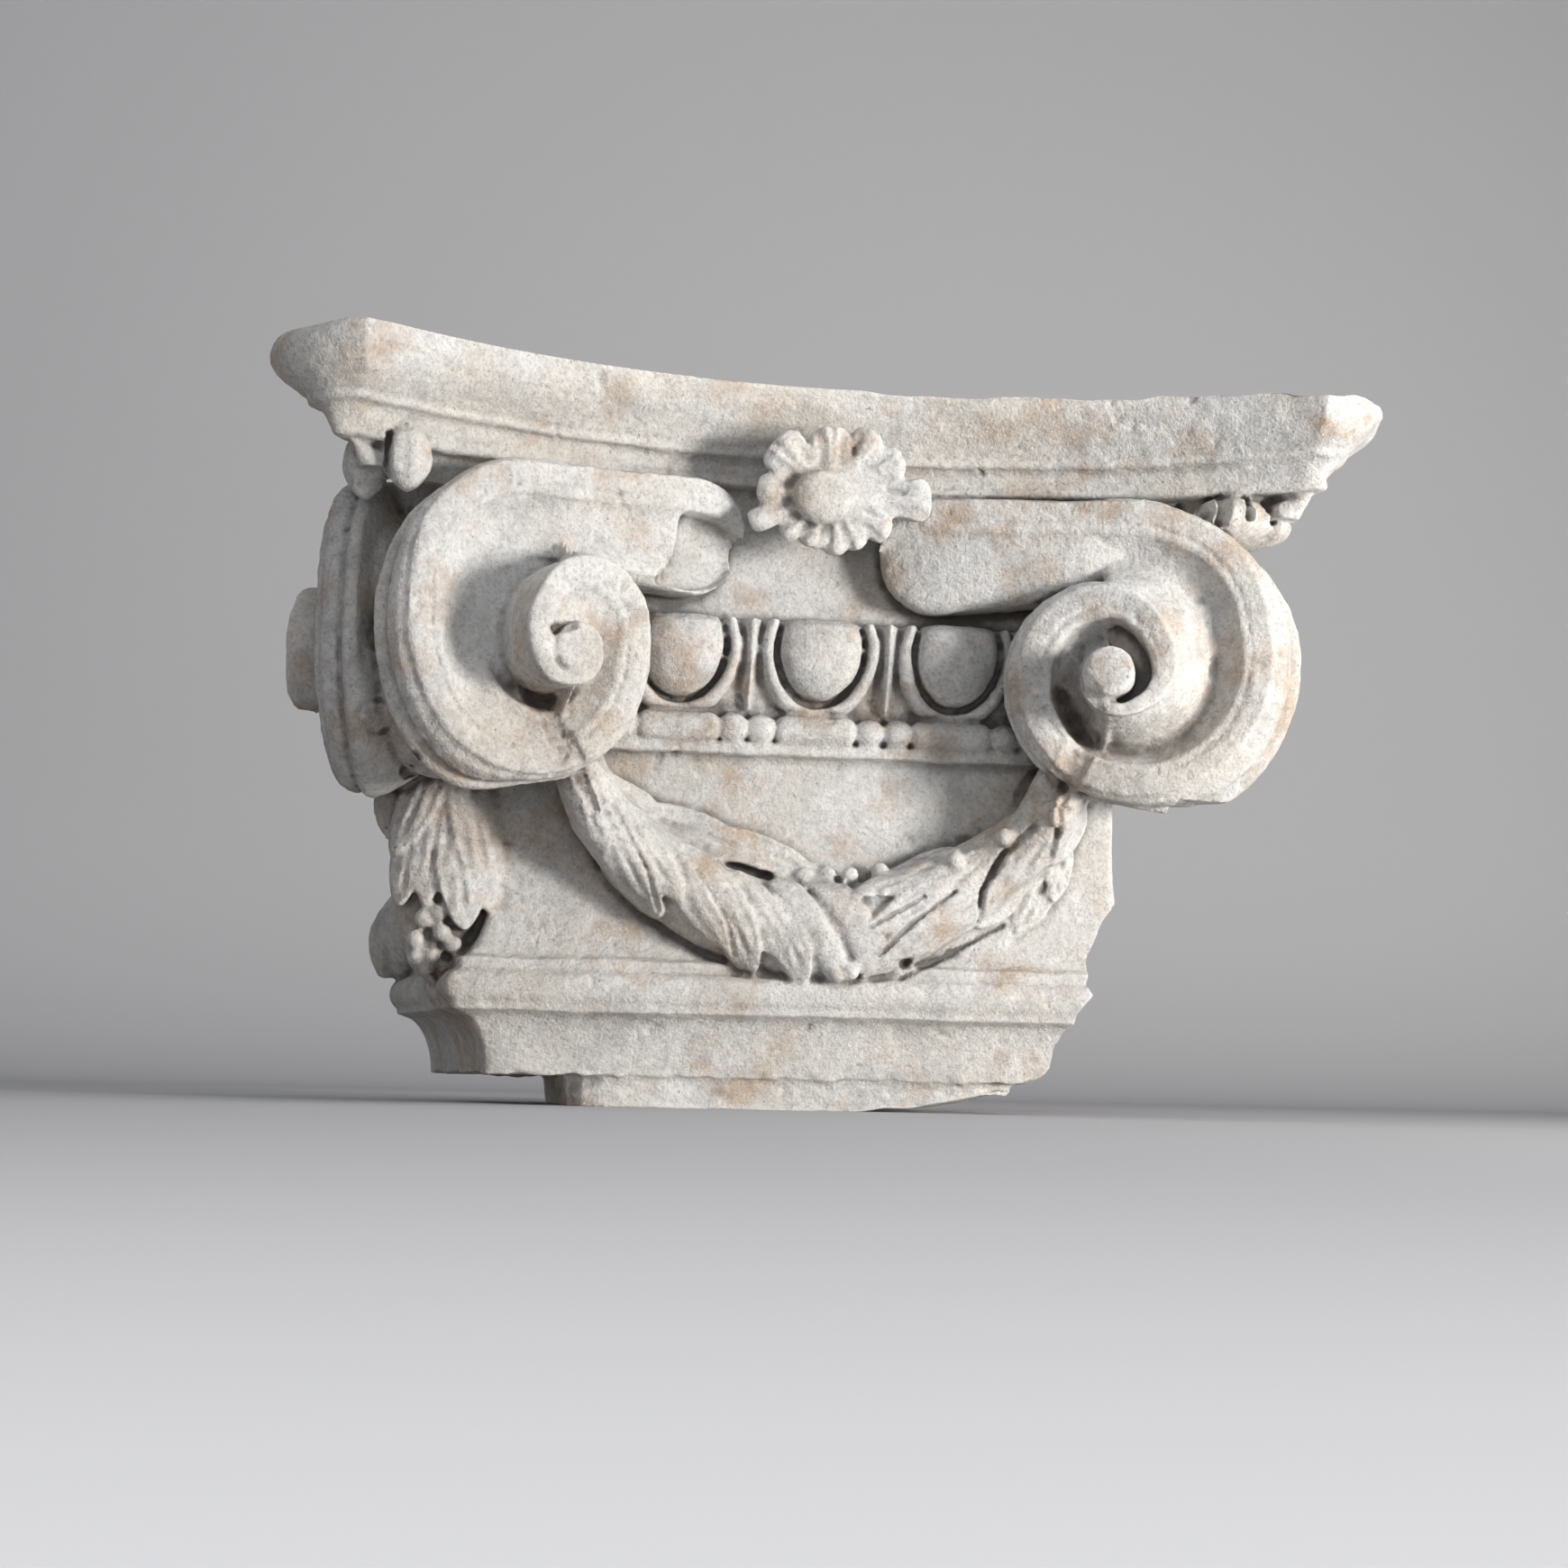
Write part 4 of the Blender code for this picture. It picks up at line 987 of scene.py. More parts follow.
@dataclass(frozen=True)
class Festoon:
    """The leaf swag between the scrolls, its ribbon and its berries."""

    half_span: float = 0.208
    low: float = 0.117
    sag: float = 0.118
    half_height: float = 0.042
    relief: float = 0.046
    end_reach: float = 0.045
    berry: float = 0.0078
    leaves: tuple[Leaf, ...] = (
        Leaf((-176, 262), (-123, 236), 24, 9.0),
        Leaf((-208, 282), (-173, 200), 26, 9.0, -4.0),
        Leaf((-197, 275), (-126, 152), 38, 8.0, -5.0),
        Leaf((-165, 250), (-112, 165), 34, 7.0, -3.0),
        Leaf((-150, 238), (-40, 203), 38, 6.0, 2.0),
        Leaf((-128, 222), (-66, 126), 42, 6.0, -3.0),
        Leaf((-100, 222), (8, 190), 32, 7.0, 4.0),
        Leaf((-104, 208), (-49, 105), 40, 10.0, 2.0),
        Leaf((-72, 190), (-22, 118), 38, 6.0, 0.0),
        Leaf((-48, 172), (-7, 99), 34, 9.0, 2.0),
        Leaf((118, 216), (30, 176), 26, 8.0, 5.0),
        Leaf((146, 214), (41, 146), 40, 9.0, 6.0),
        Leaf((160, 192), (49, 125), 40, 8.0, 4.0),
        Leaf((166, 158), (72, 103), 34, 8.0, -4.0),
        Leaf((186, 168), (112, 114), 28, 5.0, -3.0),
        Leaf((185, 232), (138, 152), 44, 13.0, 2.0, 2),
        Leaf((222, 272), (194, 205), 38, 13.0, 4.0),
        Leaf((246, 277), (184, 250), 22, 12.0, 2.0),
        Leaf((214, 228), (203, 176), 24, 8.0, 0.0),
        Leaf((205, 205), (172, 150), 32, 5.0, 0.0))
    ribbon: tuple[tuple[tuple[float, float], ...], ...] = (
        ((-32, 188), (-10, 160), (8, 130), (22, 104)),
        ((-6, 195), (18, 165), (38, 130), (54, 102)),
        ((14, 184), (32, 155), (52, 125), (72, 103)))
    berries: tuple[tuple[float, float], ...] = ((12, 192), (31, 192), (-8, 190), (17, 110), (27, 113),
                                                (55, 196), (113, 205), (150, 224), (188, 240))

    def line(self, u: Array) -> Array:
        """Centre line: x = half span u, z sags as |u|^1.8 and lifts at both ends.

        Args:
            u: Place along the swag, -1 to 1.

        Returns:
            Points, n by 3.
        """
        x = self.half_span * u
        z = self.low + 0.024 + self.sag * np.abs(u) ** 1.8 + 0.030 * smooth(np.abs(u), 0.85, 1.0)
        y = -COURSES.half_neck - 0.010 - self.end_reach * smooth(np.abs(u), 0.62, 1.0)
        return np.stack([x, y, z], -1)

    def girth(self, u: Array) -> tuple[Array, Array]:
        """Half height and relief of the swag: full in the middle, falling off as |u|^1.4."""
        taper = 1.0 - 0.52 * np.abs(u) ** 1.4
        return self.half_height * taper, self.relief * (0.45 + 0.55 * taper)

    def core(self) -> Body:
        """The thick core: ellipses across the centre line."""
        u = np.linspace(-1.0, 1.0, 90)
        here = self.line(u)
        ahead = np.gradient(here, axis=0)
        across = np.cross((0.0, -1.0, 0.0), ahead)
        across /= np.linalg.norm(across, axis=1)[:, None]
        high, deep = self.girth(u)
        turn = np.linspace(0.0, math.tau, 28, endpoint=False)
        rings = (here[:, None] + across[:, None] * (high[:, None] * 0.97 * np.sin(turn))[..., None]
                 + np.array([0.0, -1.0, 0.0]) * (deep[:, None] * 0.90 * np.cos(turn))[..., None])
        return tube(rings)

    def face(self, x: Array, z: Array) -> Array:
        """Forward reach of the core's surface under each place on the face.

        It is the centre line's reach plus relief sqrt(1 - d^2), where d is the distance across the
        swag over its half height, and never less than the neck itself.

        Args:
            x: Places along the face.
            z: Heights.

        Returns:
            Forward reach in metres.
        """
        u = np.linspace(-1.0, 1.0, 121)
        path = self.line(u)
        gap = (np.asarray(x)[..., None] - path[:, 0]) ** 2 + (np.asarray(z)[..., None] - path[:, 2]) ** 2
        nearest = np.argmin(gap, axis=-1)
        high, deep = self.girth(u)
        share = np.sqrt(np.min(gap, axis=-1)) / (high[nearest] * 1.05)
        swell = deep[nearest] * 0.80 * np.sqrt(np.clip(1.0 - share**2, 0.0, 1.0))
        reach = -path[nearest, 1] + swell
        neck = COURSES.half_neck + 0.004
        return np.where(share < 1.0, reach,
                        neck + (reach - neck) * np.exp(-np.maximum(share - 1.0, 0) * 5.0))

    def laid(self, leaf: Leaf, steps: int = 44, across: int = 17) -> Body:
        """One leaf laid on the core, with a grooved middle vein, side veins and thin pointed tip.

        Its half width is w u^0.45 (1 - u)^0.6 scaled to its width. Its surface stands on the core's
        face by a lift that grows towards the tip.

        Args:
            leaf: The leaf.
            steps: Rows from root to tip.
            across: Columns from edge to edge.

        Returns:
            The closed body.
        """
        root = np.array(leaf.root) / 1000.0
        tip = np.array(leaf.tip) / 1000.0
        along = tip - root
        length = float(np.hypot(*along))
        beside = np.array([-along[1], along[0]]) / length
        u = np.linspace(0.0, 1.0, steps)[:, None]
        v = np.linspace(-1.0, 1.0, across)[None, :]
        half = (leaf.width / 2000.0 * np.clip(u, 0.002, 1) ** 0.45
                * np.clip(1.0 - u, 0.004, 1) ** 0.6 * 1.85)
        if leaf.lobes:
            half = half * (1.0 - 0.16 * np.abs(np.cos(math.pi * leaf.lobes * u)) ** 4)
        middle = leaf.bow / 1000.0 * np.sin(math.pi * u)
        offset = middle + half * v
        x = root[0] + along[0] * u + beside[0] * offset
        z = root[1] + along[1] * u + beside[1] * offset
        rise = leaf.lift / 1000.0 * (0.08 + 0.90 * u - 0.20 * u**4)
        crown = 0.0052 * (1.0 - v**2) - 0.0040 * np.exp(-(v / 0.13) ** 2) * smooth(u, 0.05, 0.2)
        veins = 0.0014 * np.sin(16.0 * (u - 0.55 * np.abs(v))) * (1.0 - np.abs(v)) * smooth(u, 0.1, 0.3)
        rim = 0.0036 * smooth(np.abs(v), 0.66, 0.90)
        forward = self.face(x, z) + rise + crown + veins + rim
        front = np.stack([x, -forward, z], -1)
        back = front + np.array([0.0, 1.0, 0.0]) * (0.030 + rise)[..., None]
        return slab(front, back)

    def band(self, route: tuple[tuple[float, float], ...], width: float = 0.0105) -> Body:
        """One fold of the ribbon that crosses the swag: a rounded strip along a smooth route."""
        points = np.array(route) / 1000.0
        marks = np.linspace(0.0, 1.0, len(points))
        t = np.linspace(0.0, 1.0, 40)
        cubic = [np.polynomial.Polynomial.fit(marks, points[:, axis], 3)(t) for axis in (0, 1)]
        ahead = np.gradient(np.stack(cubic, -1), axis=0)
        beside = np.stack([-ahead[:, 1], ahead[:, 0]], -1) / np.linalg.norm(ahead, axis=1)[:, None]
        v = np.linspace(-1.0, 1.0, 11)
        x = cubic[0][:, None] + beside[:, :1] * width * v
        z = cubic[1][:, None] + beside[:, 1:] * width * v
        forward = self.face(x, z) + 0.0055 + 0.0040 * np.sqrt(1.0 - 0.98 * v**2)
        front = np.stack([x, -forward, z], -1)
        return slab(front, front + np.array([0.0, 0.018, 0.0]))

    def bodies(self) -> list[Body]:
        """Core, leaves, ribbon and berries."""
        parts = [self.core()] + [self.laid(leaf) for leaf in self.leaves]
        parts += [self.band(route) for route in self.ribbon]
        for x, z in np.array(self.berries) / 1000.0:
            forward = float(self.face(np.array(x), np.array(z))) + 0.008
            parts.append(ball((x, -forward, z), (self.berry,) * 3, 12))
        return parts


def side_festoon() -> Festoon:
    """The swag of the left side: the same core, with plainer leaves towards its hidden middle."""
    return Festoon(leaves=(
        Leaf((-205, 292), (-196, 204), 40, 14.0, 3.0),
        Leaf((-186, 240), (-158, 160), 38, 8.0, -3.0),
        Leaf((-160, 225), (-104, 140), 42, 9.0, 2.0),
        Leaf((-128, 210), (-60, 118), 40, 8.0, 0.0),
        Leaf((-100, 208), (-10, 150), 36, 8.0, 3.0),
        Leaf((-70, 186), (0, 108), 40, 8.0, 0.0)),
        ribbon=(((-34, 186), (-12, 160), (6, 130), (18, 106)),),
        berries=((-196, 147), (-180, 138), (-168, 128)))


@dataclass(frozen=True)
class CornerBunch(Festoon):
    """The end of the left side's festoon: leaves and berries that hang round the front corner."""

    middle_depth: float = 0.226
    levels: tuple[float, ...] = (0.098, 0.112, 0.130, 0.160, 0.200, 0.250, 0.290, 0.320)
    middles: tuple[float, ...] = (-0.300, -0.300, -0.299, -0.297, -0.295, -0.296, -0.298, -0.298)
    radii: tuple[float, ...] = (0.010, 0.024, 0.032, 0.040, 0.043, 0.034, 0.024, 0.020)
    leaves: tuple[Leaf, ...] = (
        Leaf((-298, 296), (-313, 156), 40, 6.0),
        Leaf((-320, 236), (-333, 156), 30, 7.0),
        Leaf((-303, 310), (-339, 198), 38, 10.0, 4.0),
        Leaf((-282, 306), (-259, 152), 48, 11.0, -4.0),
        Leaf((-290, 226), (-280, 138), 44, 14.0))
    berries: tuple[tuple[float, float], ...] = ((-313, 147), (-298, 136), (-319, 130), (-289, 126),
                                                (-305, 118),
                                                (-279, 119), (-302, 152), (-309, 108), (-293, 109),
                                                (-318, 116))

    def core(self) -> Body:
        """The bunch's core: round sections from its tip up to the scroll."""
        turn = np.linspace(0.0, math.tau, 32, endpoint=False)[None, :]
        radius = np.array(self.radii)[:, None]
        x = np.array(self.middles)[:, None] + radius * np.cos(turn)
        y = -self.middle_depth - radius * np.sin(turn)
        z = np.broadcast_to(np.array(self.levels)[:, None], x.shape)
        return tube(np.stack([x, y, z], -1))

    def face(self, x: Array, z: Array) -> Array:
        """Forward reach of the core's round front, middle depth + sqrt(r^2 - (x - middle)^2).

        Args:
            x: Places along the front.
            z: Heights.

        Returns:
            Forward reach in metres.
        """
        middle = np.interp(z, self.levels, self.middles)
        radius = np.interp(z, self.levels, self.radii)
        off = np.clip(np.abs(x - middle) / (radius + 0.010), 0.0, 1.0)
        return self.middle_depth + radius * np.sqrt(1.0 - 0.9 * off**2)

    def bodies(self) -> list[Body]:
        """Core, leaves and berries."""
        parts = [self.core()] + [self.laid(leaf) for leaf in self.leaves]
        for x, z in np.array(self.berries) / 1000.0:
            forward = float(self.face(np.array(x), np.array(z))) + 0.003
            parts.append(ball((x, -forward, z), (self.berry,) * 3, 12))
        return parts


def to_left_side(body: Body) -> Body:
    """Carry a body of the front's left half round the corner: swap x and y, and turn its faces back."""
    points, triangles = body
    turned = points[:, [1, 0, 2]].copy()
    return turned, triangles[:, ::-1]


def splayed(body: Body) -> Body:
    """Lean a body of the left side outward in proportion to its distance behind the front."""
    points, triangles = body
    c = COURSES
    moved = points.copy()
    moved[:, 0] -= c.side_splay * (moved[:, 1] + c.half_neck) / c.half_neck
    return moved, triangles


@dataclass(frozen=True)
class Breakage:
    """What is broken or worn away: the right flank, the horns, the top edge and the foot."""

    flank: tuple[tuple[float, float], ...] = (
        (0.276, 0.2535), (0.274, 0.245), (0.268, 0.222), (0.262, 0.198), (0.262, 0.180), (0.250, 0.170),
        (0.240, 0.142), (0.232, 0.116), (0.230, 0.098), (0.220, 0.084), (0.209, 0.060), (0.204, 0.040),
        (0.192, 0.026), (0.182, 0.012), (0.178, -0.02))
    flank_front: float = -0.5
    scroll_back: float = -0.235
    cell: float = 0.004

    def sheet(self, line: Array, front: float) -> Body:
        """A cutter beyond a rough line, its face roughened by three grains of noise.

        Args:
            line: Places and heights of the break, from its head down.
            front: How far forward it cuts.

        Returns:
            The closed cutter.
        """
        head, foot = line[0, 1], line[-1, 1]
        z = np.linspace(head, foot, int(abs(head - foot) / self.cell) + 2)[:, None]
        y = np.linspace(front, 0.3, int((0.3 - front) / self.cell))[None, :]
        x = np.interp(-z, -line[:, 1], line[:, 0]) + 0.0 * y
        y, z = np.broadcast_arrays(y, z)
        flat = np.stack([x, y, z], -1).reshape(-1, 3)
        rough = (0.0045 * lattice_noise(flat, 0.045, 3) + 0.0030 * lattice_noise(flat, 0.018, 4)
                 + 0.0012 * lattice_noise(flat, 0.007, 5)).reshape(x.shape)
        face = np.stack([x + rough, y, z], -1)
        return slab(face, np.stack([x * 0 + 0.7, y, z], -1))

    def cutters(self) -> list[Body]:
        """The flank below the scroll, the flank behind it, and the sawn back."""
        low = np.array(self.flank)
        head = low[0, 1]
        high = np.array([(low[0, 0] + 0.02, COURSES.bell_top - 0.04), (low[0, 0] + 0.003, head - 0.001)])
        y = np.array([[-1.0, 1.0, 1.0, -1.0]] * 2)
        z = np.array([[-1.0, -1.0, 1.5, 1.5]] * 2)
        back = np.stack([y, np.array([[0.0] * 4, [1.0] * 4]), z], -1)
        return [self.sheet(low, self.flank_front), self.sheet(high, self.scroll_back), tube(back)]


@dataclass(frozen=True)
class Facet:
    """A worn facet: all beyond a soft plane is rubbed back to it, within limits of x and z."""

    normal: tuple[float, float, float]
    through: tuple[float, float, float]
    from_x: float = -9.0
    from_z: float = 0.503
    grain: float = 0.03
    rough: float = 0.004

    def rub(self, points: Array) -> Array:
        """Move points back along the normal by how far they stand beyond the plane, softly.

        Args:
            points: Positions, n by 3.

        Returns:
            Moved positions.
        """
        normal = np.array(self.normal) / np.linalg.norm(self.normal)
        over = (points - self.through) @ normal + self.rough * lattice_noise(points, self.grain, 9)
        soft = 0.003
        excess = soft * np.logaddexp(0.0, over / soft)
        share = smooth(points[:, 0], self.from_x, self.from_x + 0.03)
        share = share * smooth(points[:, 2], self.from_z, self.from_z + 0.012)
        return points - normal * (excess * share * 0.92)[:, None]


@dataclass(frozen=True)
class Cut:
    """A drilled or chiselled line on the front face: a route in x and z, its half width and its depth."""

    route: tuple[tuple[float, float], ...]
    half_width: float
    depth: float
    front: float = -0.6
    rear: float = -0.24

    def distance(self, points: Array) -> Array:
        """Distance from the route, seen from the front, in half widths."""
        route = np.array(self.route) / 1000.0
        flat = points[:, [0, 2]]
        best = np.full(len(points), np.inf)
        for start, end in zip(route[:-1], route[1:]):
            span = end - start
            share = np.clip((flat - start) @ span / max(span @ span, 1e-12), 0.0, 1.0)
            best = np.minimum(best, np.linalg.norm(flat - start - share[:, None] * span, axis=1))
        return best / (self.half_width / 1000.0)

    def carve(self, points: Array, normals: Array) -> Array:
        """Push the front surface back by depth (1 - d^2)^0.7 within the half width."""
        share = np.clip(1.0 - self.distance(points) ** 2, 0.0, 1.0) ** 0.7
        share = share * smooth(-normals[:, 1], 0.05, 0.35)
        share = np.where((points[:, 1] > self.front) & (points[:, 1] < self.rear), share, 0.0)
        moved = points.copy()
        moved[:, 1] += self.depth / 1000.0 * share
        return moved


@dataclass(frozen=True)
class Wear:
    """How the fused skin is softened, rubbed, cut and pitted."""

    facets: tuple[Facet, ...] = (
        Facet((-0.50, -0.50, 0.70), (-0.423, -0.423, 0.577)),
        Facet((-0.80, -0.10, 0.60), (-0.446, -0.380, 0.578)),
        Facet((0.01, -0.06, 1.00), (0.375, -0.450, 0.5735), 0.02, 0.53, 0.02, 0.003),
        Facet((1.0, 0.0, 0.10), (0.4460, -0.375, 0.560), 0.1),
        Facet((0.75, -0.20, 0.60), (0.442, -0.390, 0.568), 0.1),
        Facet((0.68, -0.30, -0.73), (0.408, -0.390, 0.533), 0.1),
        Facet((0.17, -0.05, -1.00), (0.050, -0.260, 0.000), 0.04, -1.0))
    cuts: tuple[Cut, ...] = (
        Cut(((-242, 322), (-232, 304), (-223, 292), (-216, 273)), 9, 5),
        Cut(((-212, 286), (-206, 276), (-197, 256), (-186, 232)), 5, 4),
        Cut(((186, 335), (194, 320), (203, 298), (191, 275), (183, 263)), 12, 6),
        Cut(((-228, 360), (-214, 363)), 5, 6),
        Cut(((42, 148), (62, 160), (86, 174)), 2.6, 4.5),
        Cut(((50, 126), (78, 154), (112, 179)), 2.6, 4.5),
        Cut(((72, 108), (112, 128), (161, 155)), 2.6, 4),
        Cut(((136, 158), (134, 180), (150, 210), (172, 232)), 3.2, 5),
        Cut(((190, 226), (188, 245), (196, 262)), 3.2, 4),
        Cut(((-67, 124), (-75, 150), (-100, 190)), 2.6, 2.6),
        Cut(((-128, 156), (-140, 190), (-170, 236)), 2.6, 2.6),
        Cut(((20, 188), (22, 184)), 3.5, 5),
        Cut(((292, 502), (300, 486)), 4, 9, -0.6, -0.30),
        Cut(((314, 503), (310, 480)), 5, 10, -0.6, -0.30),
        Cut(((334, 502), (332, 484)), 4, 10, -0.6, -0.30),
        Cut(((352, 500), (358, 486)), 4, 8, -0.6, -0.30),
        Cut(((-356, 512), (-356, 490), (-357, 468)), 3, 9, -0.6, -0.30))
    plug_centre: tuple[float, float] = (-357.0, 298.0)
    plug_radius: float = 12.5
    hole: tuple[float, float] = (-332.0, 261.0)

    def edges(self, mesh: bpy.types.Mesh) -> Array:
        """Read the mesh's edges as pairs of vertex numbers."""
        pairs = np.empty(len(mesh.edges) * 2, dtype=np.int32)
        mesh.edges.foreach_get("vertices", pairs)
        return pairs.reshape(-1, 2)

    def relaxed(self, points: Array, pairs: Array, rounds: int, share: float) -> Array:
        """Move each point some of the way to the mean of its neighbours, several times."""
        count = np.bincount(pairs.ravel(), minlength=len(points)).astype(float)
        for _ in range(rounds):
            total = np.stack([np.bincount(pairs[:, 0], points[pairs[:, 1], axis], len(points))
                              + np.bincount(pairs[:, 1], points[pairs[:, 0], axis], len(points))
                              for axis in range(3)], -1)
            points = points + share * (total / count[:, None] - points)
        return points

    def dressed(self, points: Array) -> Array:
        """Where the surface is a dressed bed or the sawn back, 0, and 1 on carved stone."""
        c = COURSES
        back = smooth(-points[:, 1], 0.0005, 0.006)
        top = smooth(c.top - points[:, 2], 0.0003, 0.004)
        foot = smooth(points[:, 2], 0.0003, 0.004)
        return back * top * foot

    def work(self, item: bpy.types.Object) -> None:
        """Soften the skin, round its arrises unevenly, rub the facets, cut the lines and pit the face.

        Args:
            item: The fused skin.
        """
        mesh = item.data
        points = mesh_points(mesh)
        pairs = self.edges(mesh)
        keep = self.dressed(points)[:, None]
        points = points + (self.relaxed(points, pairs, 1, 0.5) - points) * keep
        soft = self.relaxed(points, pairs, 6, 0.5)
        patch = smooth(lattice_noise(points, 0.05, 11) + 0.5 * lattice_noise(points, 0.018, 12), 0.0, 0.9)
        points = points + (soft - points) * (0.04 + 0.42 * patch[:, None]) * keep
        for facet in self.facets:
            points = facet.rub(points)
        set_points(mesh, points)
        for cut in self.all_cuts():
            points = cut.carve(points, mesh_normals(mesh))
        set_points(mesh, points)
        points = points + mesh_normals(mesh) * self.grit(points)[:, None] * keep
        set_points(mesh, points)

    def all_cuts(self) -> list[Cut]:
        """The listed cuts, the ring round the dowel's plug and the hole below it."""
        turn = np.linspace(0.0, math.tau, 17)
        ring = tuple(zip(self.plug_centre[0] + self.plug_radius * np.cos(turn),
                         self.plug_centre[1] + self.plug_radius * np.sin(turn)))
        hole = (self.hole, (self.hole[0] + 4.0, self.hole[1] + 2.0))
        return list(self.cuts) + [Cut(ring, 2.2, 2.0), Cut(hole, 6, 16)]

    def grit(self, points: Array) -> Array:
        """Outward shift of the weathered face: four grains of noise, with chips where one runs high."""
        fine = (0.0009 * lattice_noise(points, 0.060, 21) + 0.0007 * lattice_noise(points, 0.024, 22)
                + 0.0005 * lattice_noise(points, 0.010, 23) + 0.00035 * lattice_noise(points, 0.0045, 24))
        chip = smooth(lattice_noise(points, 0.016, 25) + 0.4 * lattice_noise(points, 0.006, 26), 0.72, 1.1)
        low = smooth(COURSES.foot + 0.012 - points[:, 2], 0.0, 0.012)
        layered = points * (1.0, 1.0, 2.2)
        broken = 0.0022 * low * (lattice_noise(layered, 0.022, 27) + 0.6 * lattice_noise(layered, 0.009, 28))
        return fine - 0.0016 * chip + broken - 0.0012 * low


@dataclass(frozen=True)
class Course:
    """A piece of the finished skin: all of it inside a box."""

    name: str
    low: tuple[float, float, float]
    high: tuple[float, float, float]


class Occlusion:
    """How deep each place lies in the stone, from the share of solid stone round it, which sets the shade and
    highlight painted into the stone's colour.

    The skin's normals are gathered on a lattice. Their divergence is minus the Laplacian of the solid's
    own share, so one division by k^2 in the frequency domain gives the solid, blurred by exp(-k^2 s^2 / 2).
    """

    cell = 0.004
    margin = 0.12

    def __init__(self, mesh: bpy.types.Mesh) -> None:
        """Gather the skin's area normals on the lattice and transform them."""
        points = np.empty(len(mesh.polygons) * 3, dtype=np.float32)
        mesh.polygons.foreach_get("center", points)
        normals = np.empty(len(mesh.polygons) * 3, dtype=np.float32)
        mesh.polygons.foreach_get("normal", normals)
        area = np.empty(len(mesh.polygons), dtype=np.float32)
        mesh.polygons.foreach_get("area", area)
        centres = points.reshape(-1, 3).astype(float)
        flux = normals.reshape(-1, 3) * area[:, None] / self.cell**3
        self.low = centres.min(axis=0) - self.margin
        span = centres.max(axis=0) + self.margin - self.low
        self.shape = tuple(int(n) for n in np.ceil(span / self.cell))
        index = np.floor((centres - self.low) / self.cell - 0.5).astype(int)
        share = (centres - self.low) / self.cell - 0.5 - index
        waves = [np.fft.fftfreq(self.shape[0], self.cell), np.fft.fftfreq(self.shape[1], self.cell),
                 np.fft.rfftfreq(self.shape[2], self.cell)]
        kx, ky, kz = (math.tau * wave for wave in waves)
        self.square = kx[:, None, None] ** 2 + ky[None, :, None] ** 2 + kz[None, None, :] ** 2
        self.solid = np.zeros(self.square.shape, dtype=complex)
        for axis, wave in enumerate((kx[:, None, None], ky[None, :, None], kz[None, None, :])):
            field = np.zeros(int(np.prod(self.shape)))
            for corner in range(8):
                step = np.array([corner & 1, corner >> 1 & 1, corner >> 2])
                weight = np.prod(np.where(step, share, 1.0 - share), axis=1)
                flat = np.ravel_multi_index(tuple((index + step).T), self.shape)
                field += np.bincount(flat, weight * flux[:, axis], len(field))
            self.solid += -1j * wave * np.fft.rfftn(field.reshape(self.shape))
        self.solid[0, 0, 0] = 0.0
        self.solid /= -np.where(self.square == 0.0, 1.0, self.square)

    def depth(self, points: Array, normals: Array, blur: float) -> Array:
        """Share of solid stone about each point beyond that of a flat face, at one blur.

        Args:
            points: Positions on the skin.
            normals: Their outward directions.
            blur: Standard deviation of the blur in metres.

        Returns:
            Positive in hollows, negative on ridges.
        """
        field = np.fft.irfftn(self.solid * np.exp(-0.5 * self.square * blur**2), self.shape, axes=(0, 1, 2))
        far_out = field[0, 0, 0]
        place = (points + normals * blur * 0.6 - self.low) / self.cell - 0.5
        index = np.clip(np.floor(place).astype(int), 0, np.array(self.shape) - 2)
        share = place - index
        total = np.zeros(len(points))
        for corner in range(8):
            step = np.array([corner & 1, corner >> 1 & 1, corner >> 2])
            weight = np.prod(np.where(step, share, 1.0 - share), axis=1)
            total += weight * field[tuple((index + step).T)]
        flat_face = 0.5 * math.erfc(0.6 / math.sqrt(2.0))
        return total - far_out - flat_face


def linear(colour: str) -> tuple[float, float, float, float]:
    """Turn an sRGB hex colour into linear light, ((s + 0.055) / 1.055)^2.4 above the toe.

    Args:
        colour: Six hex digits.

    Returns:
        Red, green, blue and 1.
    """
    parts = [int(colour[i:i + 2], 16) / 255.0 for i in (0, 2, 4)]
    light = [s / 12.92 if s <= 0.04045 else ((s + 0.055) / 1.055) ** 2.4 for s in parts]
    return light[0], light[1], light[2], 1.0


def add_node(tree: bpy.types.NodeTree, kind: str, links: dict | None = None,
             **settings: object) -> bpy.types.Node:
    """Add a shader node with its settings and its inputs.

    Args:
        tree: The material's tree.
        kind: The node's type.
        links: Input name or number to a value or to another node's output socket.
        settings: Properties of the node.

    Returns:
        The node.
    """
    node = tree.nodes.new(kind)
    for key, value in settings.items():
        setattr(node, key, value)
    for key, value in (links or {}).items():
        if isinstance(value, bpy.types.NodeSocket):
            tree.links.new(value, node.inputs[key])
        else:
            node.inputs[key].default_value = value
    return node


